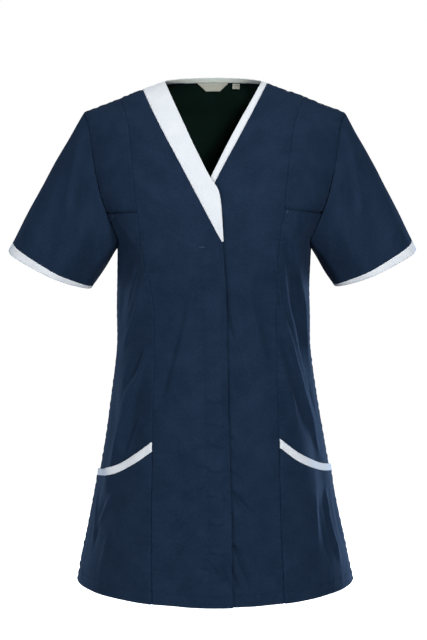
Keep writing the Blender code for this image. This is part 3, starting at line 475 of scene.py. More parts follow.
def sewn(name, node, slot, walls, materials, flat, ring=False, **cut):
    """A piece of cloth on the tunic's one body: it stands for its CAD node, which it hides. The cut that it
    is given is not used.
    """
    piece = cloth_mesh(name, *walls, materials, ring)
    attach(piece, "root")
    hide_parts(node)


def feed(tree, node, inputs):
    """Gives a node's inputs, by name or place, their values or the outputs that feed them."""
    for socket, given in inputs.items():
        if isinstance(given, bpy.types.NodeSocket):
            tree.links.new(given, node.inputs[socket])
        else:
            node.inputs[socket].default_value = given
    return node.outputs


def new_node(tree, kind, inputs=None, **settings):
    """Adds a node with these settings and inputs, and returns its outputs."""
    node = tree.nodes.new(kind)
    for name, value in settings.items():
        setattr(node, name, value)
    return feed(tree, node, inputs or {})


def new_material(name):
    material = bpy.data.materials.new(name)
    material.use_nodes = True
    return material, material.node_tree, material.node_tree.nodes["Principled BSDF"]


def mixed(tree, share, colour, other_colour):
    colours = {0: share, 6: (*colour, 1), 7: (*other_colour, 1)}
    return new_node(tree, "ShaderNodeMix", colours, data_type="RGBA")[2]


def cloth_material(name, colour, second_colour, roughness, twill, sheen, sheen_tint):
    """Woven cloth: two close colours in soft patches, a fine diagonal twill and uneven yarns."""
    material, tree, shader = new_material(name)
    grain = {"Vector": new_node(tree, "ShaderNodeTexCoord")["UV"]}
    soft = {**grain, "Scale": 26, "Detail": 6, "Roughness": 0.62}
    patches = new_node(tree, "ShaderNodeTexNoise", soft)["Fac"]
    fleck = new_node(tree, "ShaderNodeTexNoise", {**grain, "Scale": 520, "Detail": 4})["Fac"]
    yarns = {**grain, "Scale": 640, "Distortion": 1.2, "Detail Scale": 2.0}
    weave = new_node(tree, "ShaderNodeTexWave", yarns, wave_type="BANDS", bands_direction="DIAGONAL")["Fac"]
    both = new_node(tree, "ShaderNodeMath", {0: fleck, 1: 1.50, 2: patches}, operation="MULTIPLY_ADD")[0]
    contrast = {"Value": both, "From Min": 1.01, "From Max": 1.49}
    spread = new_node(tree, "ShaderNodeMapRange", contrast)["Result"]
    rough = {"Value": patches, "To Min": roughness - 0.06, "To Max": roughness + 0.08}
    height = new_node(tree, "ShaderNodeMath", {0: fleck, 1: 0.6, 2: weave}, operation="MULTIPLY_ADD")[0]
    raised = {"Strength": twill, "Distance": 0.00012, "Height": height}
    feed(tree, shader, {
        "Base Color": mixed(tree, spread, colour, second_colour),
        "Roughness": new_node(tree, "ShaderNodeMapRange", rough)["Result"],
        "Normal": new_node(tree, "ShaderNodeBump", raised)["Normal"],
        "Specular IOR Level": 0.02,
        "Specular Tint": (*sheen_tint, 1),
        "Sheen Weight": sheen,
        "Sheen Roughness": 0.45,
        "Sheen Tint": (*sheen_tint, 1),
    })
    return material


NAVY, NAVY_PALER = (0.0069, 0.0147, 0.0314), (0.0114, 0.0227, 0.0462)
navy_twill = cloth_material("navy_twill", NAVY, NAVY_PALER, 0.62, 0.35, 0.02, (0.45, 0.60, 1.0))
# Painted shade: the inside faces of every navy panel take a darker, greener copy of the navy twill, standing
# in for the shade inside the tunic.
INSIDE_SHADE, INSIDE_SHADE_PALER = (0.0034, 0.0094, 0.0070), (0.0044, 0.0114, 0.0089)
navy_painted_shade_inside = cloth_material("navy_twill_painted_shade_inside", INSIDE_SHADE, INSIDE_SHADE_PALER, 0.86, 0.35, 0.01, (0.5, 0.7, 0.9))
navy_cloth = (navy_twill, navy_painted_shade_inside)


def stitch_tree():
    """Stitches along the lines of a mesh: a short thread at every pitch, sunk at its ends."""
    tree = bpy.data.node_groups.new("stitches", "GeometryNodeTree")
    sockets = {"Lines": "Geometry", "Pitch": "Float", "Stitch length": "Float", "Thread radius": "Float",
               "Thread": "Material"}
    for name, kind in sockets.items():
        tree.interface.new_socket(name, in_out="INPUT", socket_type=f"NodeSocket{kind}")
    tree.interface.new_socket("Stitches", in_out="OUTPUT", socket_type="NodeSocketGeometry")
    given = new_node(tree, "NodeGroupInput")
    curve = new_node(tree, "GeometryNodeMeshToCurve", {"Mesh": given["Lines"]})["Curve"]
    spaced = {"Curve": curve, "Length": given["Pitch"]}
    spots = new_node(tree, "GeometryNodeCurveToPoints", spaced, mode="LENGTH")
    turned = new_node(tree, "FunctionNodeAlignRotationToVector", {"Vector": spots["Tangent"]}, axis="Z")
    bead = new_node(tree, "GeometryNodeMeshUVSphere", {"Segments": 6, "Rings": 5, "Radius": 1.0})
    half = new_node(tree, "ShaderNodeMath", {0: given["Stitch length"], 1: 0.5}, operation="MULTIPLY")[0]
    radius = given["Thread radius"]
    size = new_node(tree, "ShaderNodeCombineXYZ", {"X": radius, "Y": radius, "Z": half})["Vector"]
    beads = {"Points": spots["Points"], "Instance": bead["Mesh"], "Scale": size}
    beads["Rotation"] = turned["Rotation"]
    placed = new_node(tree, "GeometryNodeInstanceOnPoints", beads)["Instances"]
    real = new_node(tree, "GeometryNodeRealizeInstances", {"Geometry": placed})["Geometry"]
    dyed = new_node(tree, "GeometryNodeSetMaterial", {"Geometry": real, "Material": given["Thread"]})
    new_node(tree, "NodeGroupOutput", {"Stitches": dyed["Geometry"]})
    return tree


def thread_material(name, colour):
    """Spun thread: two plies wound round each other, a little glossier than the cloth."""
    material, tree, shader = new_material(name)
    place = new_node(tree, "ShaderNodeTexCoord")["Object"]
    plies = new_node(tree, "ShaderNodeTexNoise", {"Vector": place, "Scale": 2400})["Fac"]
    raised = {"Strength": 0.5, "Distance": 0.0001, "Height": plies}
    feed(tree, shader, {
        "Base Color": mixed(tree, plies, [0.72 * k for k in colour], colour),
        "Normal": new_node(tree, "ShaderNodeBump", raised)["Normal"],
        "Roughness": 0.7,
        "Specular IOR Level": 0.08,
    })
    return material


stitching = stitch_tree()
navy_thread = thread_material("navy_thread", (0.0085, 0.0165, 0.041))
THREAD_RADIUS = 0.00022
STITCH_PITCH, STITCH_LENGTH = 0.0031, 0.0025


def stitch_lines(name, lines, thread, pitch=STITCH_PITCH, length=STITCH_LENGTH, radius=THREAD_RADIUS):
    """Sews stitches along lines of points and leaves them as one plain mesh."""
    points, edges = [], []
    for line in lines:
        edges += [(len(points) + k, len(points) + k + 1) for k in range(len(line) - 1)]
        points += [tuple(spot) for spot in line]
    mesh = bpy.data.meshes.new(name)
    mesh.from_pydata(points, edges, [])
    piece = put_in_scene(name, mesh)
    sewing = piece.modifiers.new("sewing", "NODES")
    sewing.node_group = stitching
    given = {"Pitch": pitch, "Stitch length": length, "Thread radius": radius, "Thread": thread}
    for item in stitching.interface.items_tree:
        if item.name in given:
            sewing[item.identifier] = given[item.name]
    bpy.context.view_layer.update()
    done = bpy.data.meshes.new_from_object(piece.evaluated_get(bpy.context.evaluated_depsgraph_get()))
    piece.modifiers.remove(sewing)
    piece.data = done
    done.shade_smooth()
    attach(piece, "root")
    return piece


def line_inside(panel, edge, distance, rows=None):
    """A line on a panel's face at this distance from one of its edges, for stitches to follow."""
    outer, _, normals = panel
    gone = distance_from(outer, edge)
    if edge in ("first", "last"):
        outer, normals, gone = outer.swapaxes(0, 1), normals.swapaxes(0, 1), gone.T
    if edge in ("top", "last"):
        outer, normals, gone = outer[::-1], normals[::-1], gone[::-1]
    face = outer + 0.00010 * normals
    spots = [[np.interp(distance, gone[:, k], face[:, k, m]) for m in range(3)] for k in range(face.shape[1])]
    return np.array(spots)[rows if rows is not None else slice(None)]


def neck_edge_height(turn):
    """The back neckline less the part of it that the binding covers."""
    behind = np.abs(np.cos(np.radians(turn)))
    drop = SHOULDER_BINDING_DROP + (BACK_BINDING_DROP - SHOULDER_BINDING_DROP) * behind**0.7
    return BACK_NECK_RISE * behind - drop


def low_height(rows):
    return HEM_HEIGHT + (UNDERARM_HEIGHT - HEM_HEIGHT) * rows / LOWER_ROWS


ALL_ROWS = LOWER_ROWS + UPPER_ROWS
ROW = (UNDERARM_HEIGHT - HEM_HEIGHT) / LOWER_ROWS
HEM_MM = (0.0, 0.6, 1.4, 3.0, 5.5, 8.5, 11.5, 13.8, 15.2, 16.0, 16.8, 18.2, 20.5, 24.0)
LOW_START, LOW_MARKS, HIGH_MARKS, CLEAR_OF_ENDS = 0.028, 104, 67, 0.17


def row_marks(first, last, finer=1.0):
    """Rows of a panel from hem (0) to shoulder (29), closer at the hem and at the panel's own ends."""
    at_hem, close = np.array(HEM_MM) / 1000 / ROW, np.array([0.0, 0.035, 0.08, 0.14])
    low = np.linspace(LOW_START / ROW, LOWER_ROWS, int(LOW_MARKS * finer))
    high = np.linspace(LOWER_ROWS, ALL_ROWS, int(HIGH_MARKS * finer))[1:]
    marks = np.concatenate([at_hem, low, high])
    marks = marks[(marks > first + CLEAR_OF_ENDS) & (marks < last - CLEAR_OF_ENDS)]
    if first == 0:
        marks = marks[marks > at_hem[-1] + 0.01]
    start = at_hem if first == 0 else first + close
    return np.unique(np.round(np.concatenate([start, last - close, marks]), 6))


def column_marks(width, step, line=None):
    """Places across a panel from 0 to 1, closer at both sides and at a line of stitches this far across."""
    close = np.array([0.0, 0.0006, 0.0013, 0.0022, 0.0034, 0.0052, 0.0075])
    marks = np.concatenate([close, np.arange(0.0105, width - 0.0105, step), width - close])
    if line is not None:
        marks = marks[np.abs(marks - line) > 0.0032]
        marks = np.concatenate([marks, line + np.array([-0.0028, -0.0014, 0.0, 0.0014, 0.0028])])
    return np.sort(marks) / width


def navy_panel(name, node, panel, flat, area, **cut):
    """A hanging panel of the navy twill."""
    sewn(name, node, "navy_cloth", panel[:2], navy_cloth, flat, held="hung", area=area, **cut)


def hem_stitches(name, panel, *more_lines):
    """Stitches along the top of a panel's turned hem, and along any more lines."""
    stitch_lines(name, [*more_lines, line_inside(panel, "bottom", HEM_TURNING)], navy_thread)


back_rows = row_marks(0, ALL_ROWS, 1.2)[:, None]
back_shares = column_marks(0.56, 0.0038)[None, :]
low_rows = back_rows[back_rows[:, 0] <= LOWER_ROWS]
station = back_rows[len(low_rows):] - LOWER_ROWS
low_heights, low_turns = low_height(low_rows) + 0 * back_shares, 90 + 180 * back_shares + 0 * low_rows
column = back_shares[0] * BACK_COLUMNS
near = np.minimum(column, BACK_COLUMNS - column)
neck_turns = 90 + 180 * np.clip((column - SHOULDER_COLUMNS) / (BACK_COLUMNS - 2 * SHOULDER_COLUMNS), 0, 1)
tip_height = ARMHOLE[-1][0]
seam_heights = tip_height + (neck_edge_height(90.0) - tip_height) * near / SHOULDER_COLUMNS
top_heights = np.where(near < SHOULDER_COLUMNS, seam_heights, neck_edge_height(neck_turns))
top_x = ring_point(neck_turns, top_heights)[:, 0]
base_x = ring_point(low_turns[-1], low_heights[-1])[:, 0]
up = np.sin(station / UPPER_ROWS * math.pi / 2)
arm_heights, arm_turns = armhole_height(station), 180 - armhole_back(station)
arm_x, other_arm_x = [ring_point(turns, arm_heights)[..., 0] for turns in (arm_turns, 360 - arm_turns)]
near_side = np.abs(2 * back_shares - 1) ** 1.5
off_side = arm_heights - between(UNDERARM_HEIGHT, tip_height, up)
high_heights = between(UNDERARM_HEIGHT, top_heights, up) + near_side * off_side
x = between(base_x, top_x, up)
x = x + (1 - back_shares) ** 2 * (arm_x - x[:, :1]) + back_shares**2 * (other_arm_x - x[:, -1:])
high_turns = turn_at(x, high_heights, behind=True)
high_turns[:, 0], high_turns[:, -1] = arm_turns[:, 0], 360 - arm_turns[:, 0]
high_turns[-1], high_heights[-1] = neck_turns, top_heights
back_places = np.concatenate([low_turns, high_turns]), np.concatenate([low_heights, high_heights])
HEM_SEWN = ("bottom", HEM_TURNING, 1.0)
back_seams = {"first": 1, "last": 1, "top": 1}
back_panel = cloth_at(*back_places, seams=back_seams, stitched=[HEM_SEWN], hem=True)
navy_panel("back_panel", "back", back_panel, (0.60, 0.79), 0.345)
hem_stitches("back_hem_stitches", back_panel)

# The two centre fronts, of the same navy twill, each from a princess seam to the neck trim. The right one
# laps over the left and is stitched 34 mm inside its free edge, over the hidden fastening.
LAP_WIDTH, LAP_RECESS, LAP_FLAT, LAP_RAMP = 0.037, 0.0025, 0.012, 0.028
FLY_STITCH, BAND_TIP_HEIGHT = 0.0335, -0.2265
BAND_OUTER_SHOULDER, BINDING_OUTER_SHOULDER = 0.1028, 0.0795
# height, right_x, left_x
PRINCESS = (
    (-0.749, -0.0893, 0.1030),
    (-0.690, -0.0898, 0.1005),
    (-0.600, -0.0896, 0.0965),
    (-0.500, -0.0876, 0.0945),
    (-0.440, -0.0862, 0.0925),
    (-0.384, -0.0853, 0.0905),
    (-0.332, -0.0859, 0.0898),
    (-0.296, -0.0888, 0.0893),
    (-0.252, -0.0955, 0.0875),
    (-0.220, -0.1003, 0.0905),
    (-0.188, -0.1065, 0.0985),
    (-0.136, -0.1145, 0.1055),
    (-0.093, -0.1188, 0.1110),
    (-0.060, -0.1238, 0.1170),
    (-0.024, -0.1370, 0.1320),
)
MOUTH_HEIGHTS = {"right": -0.188, "left": -0.183}
# height, x
FRONT_EDGE = ((-0.749, 0.0280), (-0.570, 0.0241), (-0.478, 0.0212), (-0.326, 0.0183), (-0.2265, 0.0127))
BAND_OUTER = ((-0.2265, 0.0117), (-0.1692, -0.0190), (-0.1175, -0.0470), (-0.0646, -0.0760), (0.0, -0.1090))
BAND_INNER = (
    (-0.2265, 0.0137),
    (-0.1790, 0.0106),
    (-0.1566, 0.0072),
    (-0.1370, -0.0050),
    (-0.0966, -0.0259),
    (-0.0508, -0.0478),
    (0.0, -0.0720),
)
BINDING_OUTER = ((-0.1870, -0.0222), (-0.1443, 0.0007), (-0.0785, 0.0372), (0.0, 0.0795))
princess_at = dict(zip(("right", "left"), table_curves(PRINCESS)))
drawn_edges = (FRONT_EDGE, BAND_OUTER, BAND_INNER, BINDING_OUTER)
front_edge, band_outer, band_inner, binding_outer = [table_curves(edge)[0] for edge in drawn_edges]


def shoulder_height(x):
    heights = np.linspace(RINGS[SHOULDER_RING][0], RINGS[-2][0], 400)
    widths = half_width(heights) + centre(heights) * np.sign(x)
    return float(np.interp(-abs(x), -widths, heights))


def front_view_edge(x_at, corner_row, corner_height, shoulder_x, rows):
    """An edge drawn in the front view, from hem through a corner in the upper rows to the shoulder line."""
    station = rows - LOWER_ROWS
    below = UNDERARM_HEIGHT + (corner_height - UNDERARM_HEIGHT) * station / corner_row
    over = np.clip((station - corner_row) / (UPPER_ROWS - corner_row), 0, 1)
    above = corner_height + (shoulder_height(shoulder_x) - corner_height) * np.sin(over * math.pi / 2)
    heights = np.where(station <= 0, low_height(rows), np.where(station <= corner_row, below, above))
    turns = turn_at(x_at(heights), heights)
    return np.where(rows >= ALL_ROWS, math.copysign(90, shoulder_x), turns), heights


def side_edge(side, rows):
    """Side seam, then armhole, of a front."""
    station = rows - LOWER_ROWS
    heights = np.where(station <= 0, low_height(rows), armhole_height(station))
    return side * np.where(station <= 0, 90.0, armhole_front(station)), heights


def places_between(one, other, shares):
    """Turns and heights between two edges, by x."""
    x_a, x_b = [ring_point(*edge)[:, :1] for edge in (one, other)]
    heights = between(one[1][:, None], other[1][:, None], shares)
    return turn_at(between(x_a, x_b, shares), heights), heights


def panel_places(one, other, shares, rows):
    """Turns and heights between two edges: by turn low down, by x above the underarm."""
    by_x, heights = places_between(one, other, shares)
    by_turn = between(one[0][:, None], other[0][:, None], shares)
    turns = between(by_turn, by_x, smooth_step((rows[:, None] - LOWER_ROWS) / MOUTH_ROW))
    turns[:, 0], turns[:, -1] = one[0], other[0]
    if abs(one[0][-1]) == 90 and abs(other[0][-1]) == 90:
        turns[-1] = one[0][-1]
    return turns, heights


def lap(height):
    return np.where(height < BAND_TIP_HEIGHT, front_edge(height), band_outer(height))


def underlap(height):
    return np.where(height < BINDING_OUTER[0][0], front_edge(height) - LAP_WIDTH, binding_outer(height))


LAP_DROOP, DROOP_REACH = 0.0024, 0.0055


def lap_recess(turns, heights):
    """The left front sinks under the right one where they lap, and droops a little more at the free edge."""
    free_edge = np.where(heights > BAND_TIP_HEIGHT, band_inner(heights), front_edge(heights))
    past_edge = ring_point(turns, heights)[..., 0] - free_edge
    droop = LAP_DROOP * (0.75 + 0.25 * np.sin(heights / 0.027)) * bell(past_edge, DROOP_REACH)
    return -LAP_RECESS * (1 - smooth_step((past_edge - LAP_FLAT) / LAP_RAMP)) - droop


def princess_edge(side_name, rows):
    shoulder_x = PRINCESS[-1][1 if side_name == "right" else 2]
    return front_view_edge(princess_at[side_name], MOUTH_ROW, MOUTH_HEIGHTS[side_name], shoulder_x, rows)


FINER, RIGHT_WIDTH = 2.6, 0.116
tip_row = LOWER_ROWS + 1
front_rows = np.unique([*row_marks(0, ALL_ROWS, FINER), tip_row - 0.05, tip_row, tip_row + 0.05])
lap_edge = front_view_edge(lap, 1, BAND_TIP_HEIGHT, -BAND_OUTER_SHOULDER, front_rows)
right_shares = column_marks(RIGHT_WIDTH, 0.0022, RIGHT_WIDTH - FLY_STITCH)
places = panel_places(princess_edge("right", front_rows), lap_edge, right_shares, front_rows)
above_tip = smooth_step((front_rows - tip_row) / 0.1)[:, None]
below_tack = 1 - smooth_step((front_rows - tip_row + 0.35) / 0.3)[:, None]
fly_sewn = ("last", FLY_STITCH, below_tack)
seams = {"first": 1.0, "last": above_tip, "top": 1.0}
right_front = cloth_at(*places, seams=seams, stitched=[HEM_SEWN, fly_sewn], hem=True)
navy_panel("right_centre_front", "front_right", right_front, (0.165, 0.80), 0.080)
fly_rows = slice(0, int(np.sum(front_rows < tip_row - 0.4)))
fly_line = line_inside(right_front, "last", FLY_STITCH, fly_rows)
hem_stitches("right_front_stitches", right_front, fly_line)

binding_edge = front_view_edge(underlap, MOUTH_ROW, BINDING_OUTER[0][0], BINDING_OUTER_SHOULDER, front_rows)
left_edge = princess_edge("left", front_rows)
places = panel_places(binding_edge, left_edge, column_marks(0.150, 0.0025), front_rows)
above_lap = smooth_step((front_rows - LOWER_ROWS - MOUTH_ROW) / 0.1)[:, None]
seams = {"last": 1.0, "first": above_lap, "top": 1.0}
left_front = cloth_at(*places, lap_recess(*places), seams=seams, stitched=[HEM_SEWN], hem=True)
navy_panel("left_centre_front", "front_left", left_front, (0.175, 0.80), 0.085)
hem_stitches("left_front_stitches", left_front)

# The side fronts: from side seam and underarm to princess seam, and from hem up to the chest pocket's mouth,
# whose edge is folded under and stitched twice. It stands open by 2 mm over the chest piece behind it.
SIDES = {"right": -1, "left": 1}
MOUTH_GAPE, GAPE_REACH = 0.0019, 0.012
MOUTH_STITCHES = (0.0015, 0.0065)
mouth = LOWER_ROWS + MOUTH_ROW
side_fronts = {}
for side_name, side in SIDES.items():
    rows, shares = row_marks(0, mouth, FINER), column_marks(0.135, 0.0023)
    places = panel_places(side_edge(side, rows), princess_edge(side_name, rows), shares, rows)
    to_mouth = distance_from(form_point(*places), "top")
    gape = MOUTH_GAPE * np.exp(-to_mouth / GAPE_REACH) * np.sin(math.pi * shares)
    mouth_sewn = ("top", MOUTH_STITCHES[1], 0.7)
    seams = {"first": 1.0, "last": 1.0}
    panel = cloth_at(*places, gape, seams=seams, stitched=[HEM_SEWN, mouth_sewn], hem=True)
    side_fronts[side_name] = shares, panel
    navy_panel(f"{side_name}_side_front", f"side_front_{side_name}", panel, (0.185, 0.575), 0.085)
    mouth_lines = [line_inside(panel, "top", distance) for distance in MOUTH_STITCHES]
    hem_stitches(f"{side_name}_side_front_stitches", panel, *mouth_lines)

# The chest pieces: from the shoulder to the chest pocket's mouth on the face of the tunic, then on down
# inside the side front as the pocket's back. Each is cut in one piece of navy twill, with no stitches.
SINK, SINK_LENGTH = 0.0026, 0.0048
BAG_ROWS, BAG_INSET = 5, 0.1417
for side_name, side in SIDES.items():
    bag_rows, rows = row_marks(mouth - BAG_ROWS, mouth)[:-1], row_marks(mouth, ALL_ROWS, FINER)
    shares = column_marks(0.085, 0.0023)
    high = panel_places(side_edge(side, rows), princess_edge(side_name, rows), shares, rows)
    bag_shares = np.array([0, *(BAG_INSET + (1 - BAG_INSET) * shares), 1])
    low = panel_places(side_edge(side, bag_rows), princess_edge(side_name, bag_rows), bag_shares, bag_rows)
    turns, heights = [np.concatenate([below[:, 1:-1], above]) for below, above in zip(low, high)]
    lift = SINK * (smooth_step((heights - high[1][0] - 0.0005) / SINK_LENGTH) - 1)
    outside = (np.arange(len(turns)) >= len(bag_rows))[:, None]
    panel = cloth_at(turns, heights, lift, seams={"last": 1.0, "first": outside, "top": 1.0})
    navy_panel(f"{side_name}_chest_piece", f"chest_piece_{side_name}", panel, (0.115, 0.225), 0.0195)

# The set-in short sleeves: one piece of navy twill each, sewn into a tube and into the armhole, with a little
# fullness eased in over the shoulder. They hang empty, with long soft folds and a hollow under the arm.
TRIM, BINDING_WIDTH = 0.0014, 0.0095
SLEEVE_BULGE, SLEEVE_STEPS = 0.0024, 72
# centre_x, centre_height, half_width, half_depth, slope in degrees, front_drop
SLEEVE_HEMS = {
    "right": (-0.2430, -0.2765, 0.0672, 0.050, 24.5, 0.0050),
    "left": (0.2405, -0.2735, 0.0665, 0.050, 24.5, 0.0050),
}
# place round the sleeve in degrees (0 underarm, 90 front, 180 shoulder, 270 back), out, half_width
SLEEVE_FOLDS = ((38.0, -0.0040, 20.0), (82.0, 0.0030, 17.0), (118.0, -0.0034, 18.0), (150.0, 0.0028, 15.0),
                (222.0, -0.0034, 20.0), (268.0, 0.0036, 20.0), (318.0, -0.0040, 20.0))
# from place and share of the length, to place and share, out in mm, half width in degrees
SLEEVE_CREASES = (
    (62, 0.02, 40, 0.55, 0.6, 8), (160, 0.04, 104, 0.52, 2.0, 7), (166, 0.14, 140, 0.78, -1.4, 9),
    (84, 0.25, 78, 1.05, 2.2, 12), (52, 0.20, 50, 1.05, -2.2, 14), (95, 0.05, 70, 0.80, 0.9, 8),
    (128, 0.30, 138, 0.97, 1.0, 9), (106, 0.45, 98, 0.98, -1.0, 8), (172, 0.00, 164, 0.30, 0.9, 6),
    (158, 0.00, 150, 0.22, 0.7, 5), (190, 0.00, 198, 0.28, 0.8, 6), (24, 0.10, 20, 0.90, -1.2, 9),
    (236, 0.05, 250, 0.70, 1.0, 8), (292, 0.10, 312, 0.75, 1.2, 8), (335, 0.05, 342, 0.90, -1.0, 9),
    (210, 0.40, 216, 0.97, 0.8, 8),
)
SLEEVE_LENGTH = 0.2
EASE_PUCKER, EASE_PLACE, EASE_REACH, EASE_FALL = 0.0007, 175, 62, 0.011


def sleeve_hem(side_name, places):
    centre_x, centre_height, wide, deep, slope, drop = SLEEVE_HEMS[side_name]
    out, forward = -np.cos(np.radians(places)), np.sin(np.radians(places))
    tip = math.radians(slope)
    x = centre_x + SIDES[side_name] * wide * math.cos(tip) * out
    height = centre_height + wide * math.sin(tip) * out - drop * forward
    return np.stack([x, -deep * forward, height], axis=-1)


def sleeve_points(side_name):
    """Points and outward normals of a sleeve and its binding, and the row at which the binding starts."""
    steps = np.linspace(0, UPPER_ROWS, SLEEVE_STEPS + 1)
    ahead, behind = SIDES[side_name] * armhole_front(steps), SIDES[side_name] * (180 - armhole_back(steps))
    heights = armhole_height(steps)
    loop = form_point(np.concatenate([ahead, behind[-2:0:-1]]), np.concatenate([heights, heights[-2:0:-1]]))
    lengths = np.linalg.norm(np.roll(loop, -1, axis=0) - loop, axis=1)
    walked = np.concatenate([[0], np.cumsum(lengths)[:-1]])
    places = np.interp(walked, [0, walked[SLEEVE_STEPS], lengths.sum()], [0, 180, 360])
    hem = sleeve_hem(side_name, places)
    tape = BINDING_WIDTH / np.linalg.norm(hem - loop, axis=1).mean()
    close = np.array([0, 0.0006, 0.0013, 0.0022, 0.0036, 0.0055]) / SLEEVE_LENGTH
    body = [*close, *np.linspace(0.04, 0.985 - tape, 44)]
    body += [1 - tape - 0.006, 1 - tape]
    below = 1 - tape * np.array([0.93, 0.86, 0.76, 0.62, 0.46, 0.3, 0.16, 0.06, 0.0])
    share = np.array([*body, *below])[:, None]
    straight = between(loop[None], hem[None], share[..., None])
    outward = unit(straight - straight.mean(axis=1, keepdims=True))
    lift = SLEEVE_BULGE * np.sin(math.pi * share) * np.ones(len(loop))
    for place, most, reach in SLEEVE_FOLDS:
        grows = smooth_step(share / 0.35) * (1 - 0.45 * smooth_step((share - 0.6) / 0.4))
        lift = lift + most * bell(turn_between(places, place), reach) * grows
    for place_a, share_a, place_b, share_b, most, reach in SLEEVE_CREASES:
        along = (share - share_a) / (share_b - share_a)
        line = place_a + (place_b - place_a) * np.clip(along, 0, 1)
        fade = smooth_step(along / 0.25 + 0.2) * smooth_step((1 - along) / 0.3)
        lift = lift + most / 1000 * fade * bell(turn_between(places, line), reach)
    around, distance = np.radians(places), share * SLEEVE_LENGTH
    over_cap = bell(turn_between(places, EASE_PLACE), EASE_REACH)
    eased = over_cap * np.sin(around * 23 + 0.8 * np.sin(around * 7))
    lift = lift + EASE_PUCKER * eased * np.exp(-distance / EASE_FALL) * smooth_step(distance / 0.004)
    lift = lift - SEAM_SINK * (1 - smooth_step(distance / SEAM_ROLL))
    lift = lift + unevenness(straight) * smooth_step(distance / 0.02)
    points = straight + lift[..., None] * outward
    round_it = np.roll(points, -1, axis=1) - np.roll(points, 1, axis=1)
    normals = unit(np.cross(round_it, np.gradient(points, axis=0)))
    if np.sum(normals * outward) < 0:
        normals = -normals
    return points, normals, len(body) - 1


sleeves = {}
for side_name in SIDES:
    points, normals, last_row = sleeves[side_name] = sleeve_points(side_name)
    outer, normals = points[:last_row + 1].copy(), normals[:last_row + 1]
    draw_back(outer, "bottom")
    walls = outer, outer - CLOTH * normals
    navy_panel(f"{side_name}_sleeve", f"sleeve_{side_name}", walls, (0.40, 0.225), 0.058, ring=True)

# The sleeve bindings: a bias strip of white twill folded over each sleeve's raw hem and stitched close to its
# upper edge, a hair thicker and wider than the cloth that it holds.
WHITE, WHITE_PALER = (0.520, 0.550, 0.588), (0.578, 0.608, 0.640)
white_twill = cloth_material("white_twill", WHITE, WHITE_PALER, 0.68, 0.30, 0.10, (0.9, 0.95, 1.0))
white_thread = thread_material("white_thread", (0.74, 0.77, 0.82))
EDGE_STITCH, TAPE_LIFT, TAPE_SINK = 0.0013, 0.00035, 0.00022
TAPE_PUCKER_REACH = 0.004


def tape_crown(distance, width):
    """A folded strip is lower at its two edges and at the stitches that hold it."""
    edge = np.minimum(distance, width - distance)
    return TAPE_LIFT * smooth_step(edge / 0.0012) - TAPE_SINK * bell(distance - EDGE_STITCH, 0.0007)


def white_strip(name, node, walls, flat, materials=(white_twill,), **cut):
    """A folded strip of the white twill."""
    sewn(name, node, "white_trim", walls, materials, flat, held="folded", **cut)


def edge_stitches(name, *lines):
    stitch_lines(name, lines, white_thread)


for side_name in SIDES:
    points, normals, last_row = sleeves[side_name]
    tape, tape_normals = points[last_row:], normals[last_row:]
    gone = steps_along(tape, 0)
    wobble = 0.00013 * pucker_wave(np.cumsum(np.full(tape.shape[1], 0.0025)))
    rise = tape_crown(gone, gone[-1:]) + wobble * np.exp(-gone / TAPE_PUCKER_REACH)
    outer = tape + rise[..., None] * tape_normals
    outer[0] += SEAM_GAP * unit(tape[1] - tape[0])
    name, node = f"{side_name}_sleeve_binding", f"sleeve_binding_{side_name}"
    walls = outer, tape - TRIM * tape_normals
    white_strip(name, node, walls, (0.36, 0.0104), rests_on=[f"{side_name}_sleeve"], ring=True)
    stitches = line_inside((outer, None, tape_normals), "bottom", EDGE_STITCH)
    edge_stitches(f"{name}_stitches", np.concatenate([stitches, stitches[:1]]))

# The neck trims: a wide flat band of white twill on the right front's neck edge, which comes to a point at
# the lap, a narrow white binding on the left, and a strip that binds the back of the neck, its inside painted
# greyer as shade.
BINDING_INNER = ((-0.1690, -0.0222), (-0.1373, -0.0049), (-0.0715, 0.0302), (0.0, 0.0712))
NECK_HALF_WIDTH = 0.0718
binding_inner, = table_curves(BINDING_INNER)


def strip_edge(x_at, start_height, shoulder_x):
    marks = np.concatenate([[0, 0.004, 0.012], np.linspace(0.025, 0.985, 76), [0.995, 1.0]])
    heights = start_height + (shoulder_height(shoulder_x) - start_height) * np.sin(marks * math.pi / 2)
    turns = turn_at(x_at(heights), heights)
    turns[-1] = math.copysign(90.0, shoulder_x)
    return turns, heights


def neck_strip(name, node, one, other, shares, lift, flat, area):
    """A strip between two edges in the front view. Returns its outer and inner points and normals."""
    turns, heights = places_between(one, other, shares)
    turns[-1] = one[0][-1]
    base = form_point(turns, heights)
    across = distance_from(base, "first")
    width = across[:, -1:]
    wobble = pucker_wave(base[..., 2]) * np.exp(-np.minimum(across, width - across) / TAPE_PUCKER_REACH)
    rise = tape_crown(across, width) + 0.00012 * wobble
    outer, _, normals = cloth_at(turns, heights, lift(turns, heights) + rise)
    inner = cloth_at(turns, heights, lift(turns, heights), thickness=TRIM)[1]
    for grid in (outer, inner):
        draw_back(grid, "top")
    white_strip(name, node, (outer, inner), flat, area=area)
    return outer, inner, normals


def no_lift(turns, heights):
    return np.zeros(turns.shape)


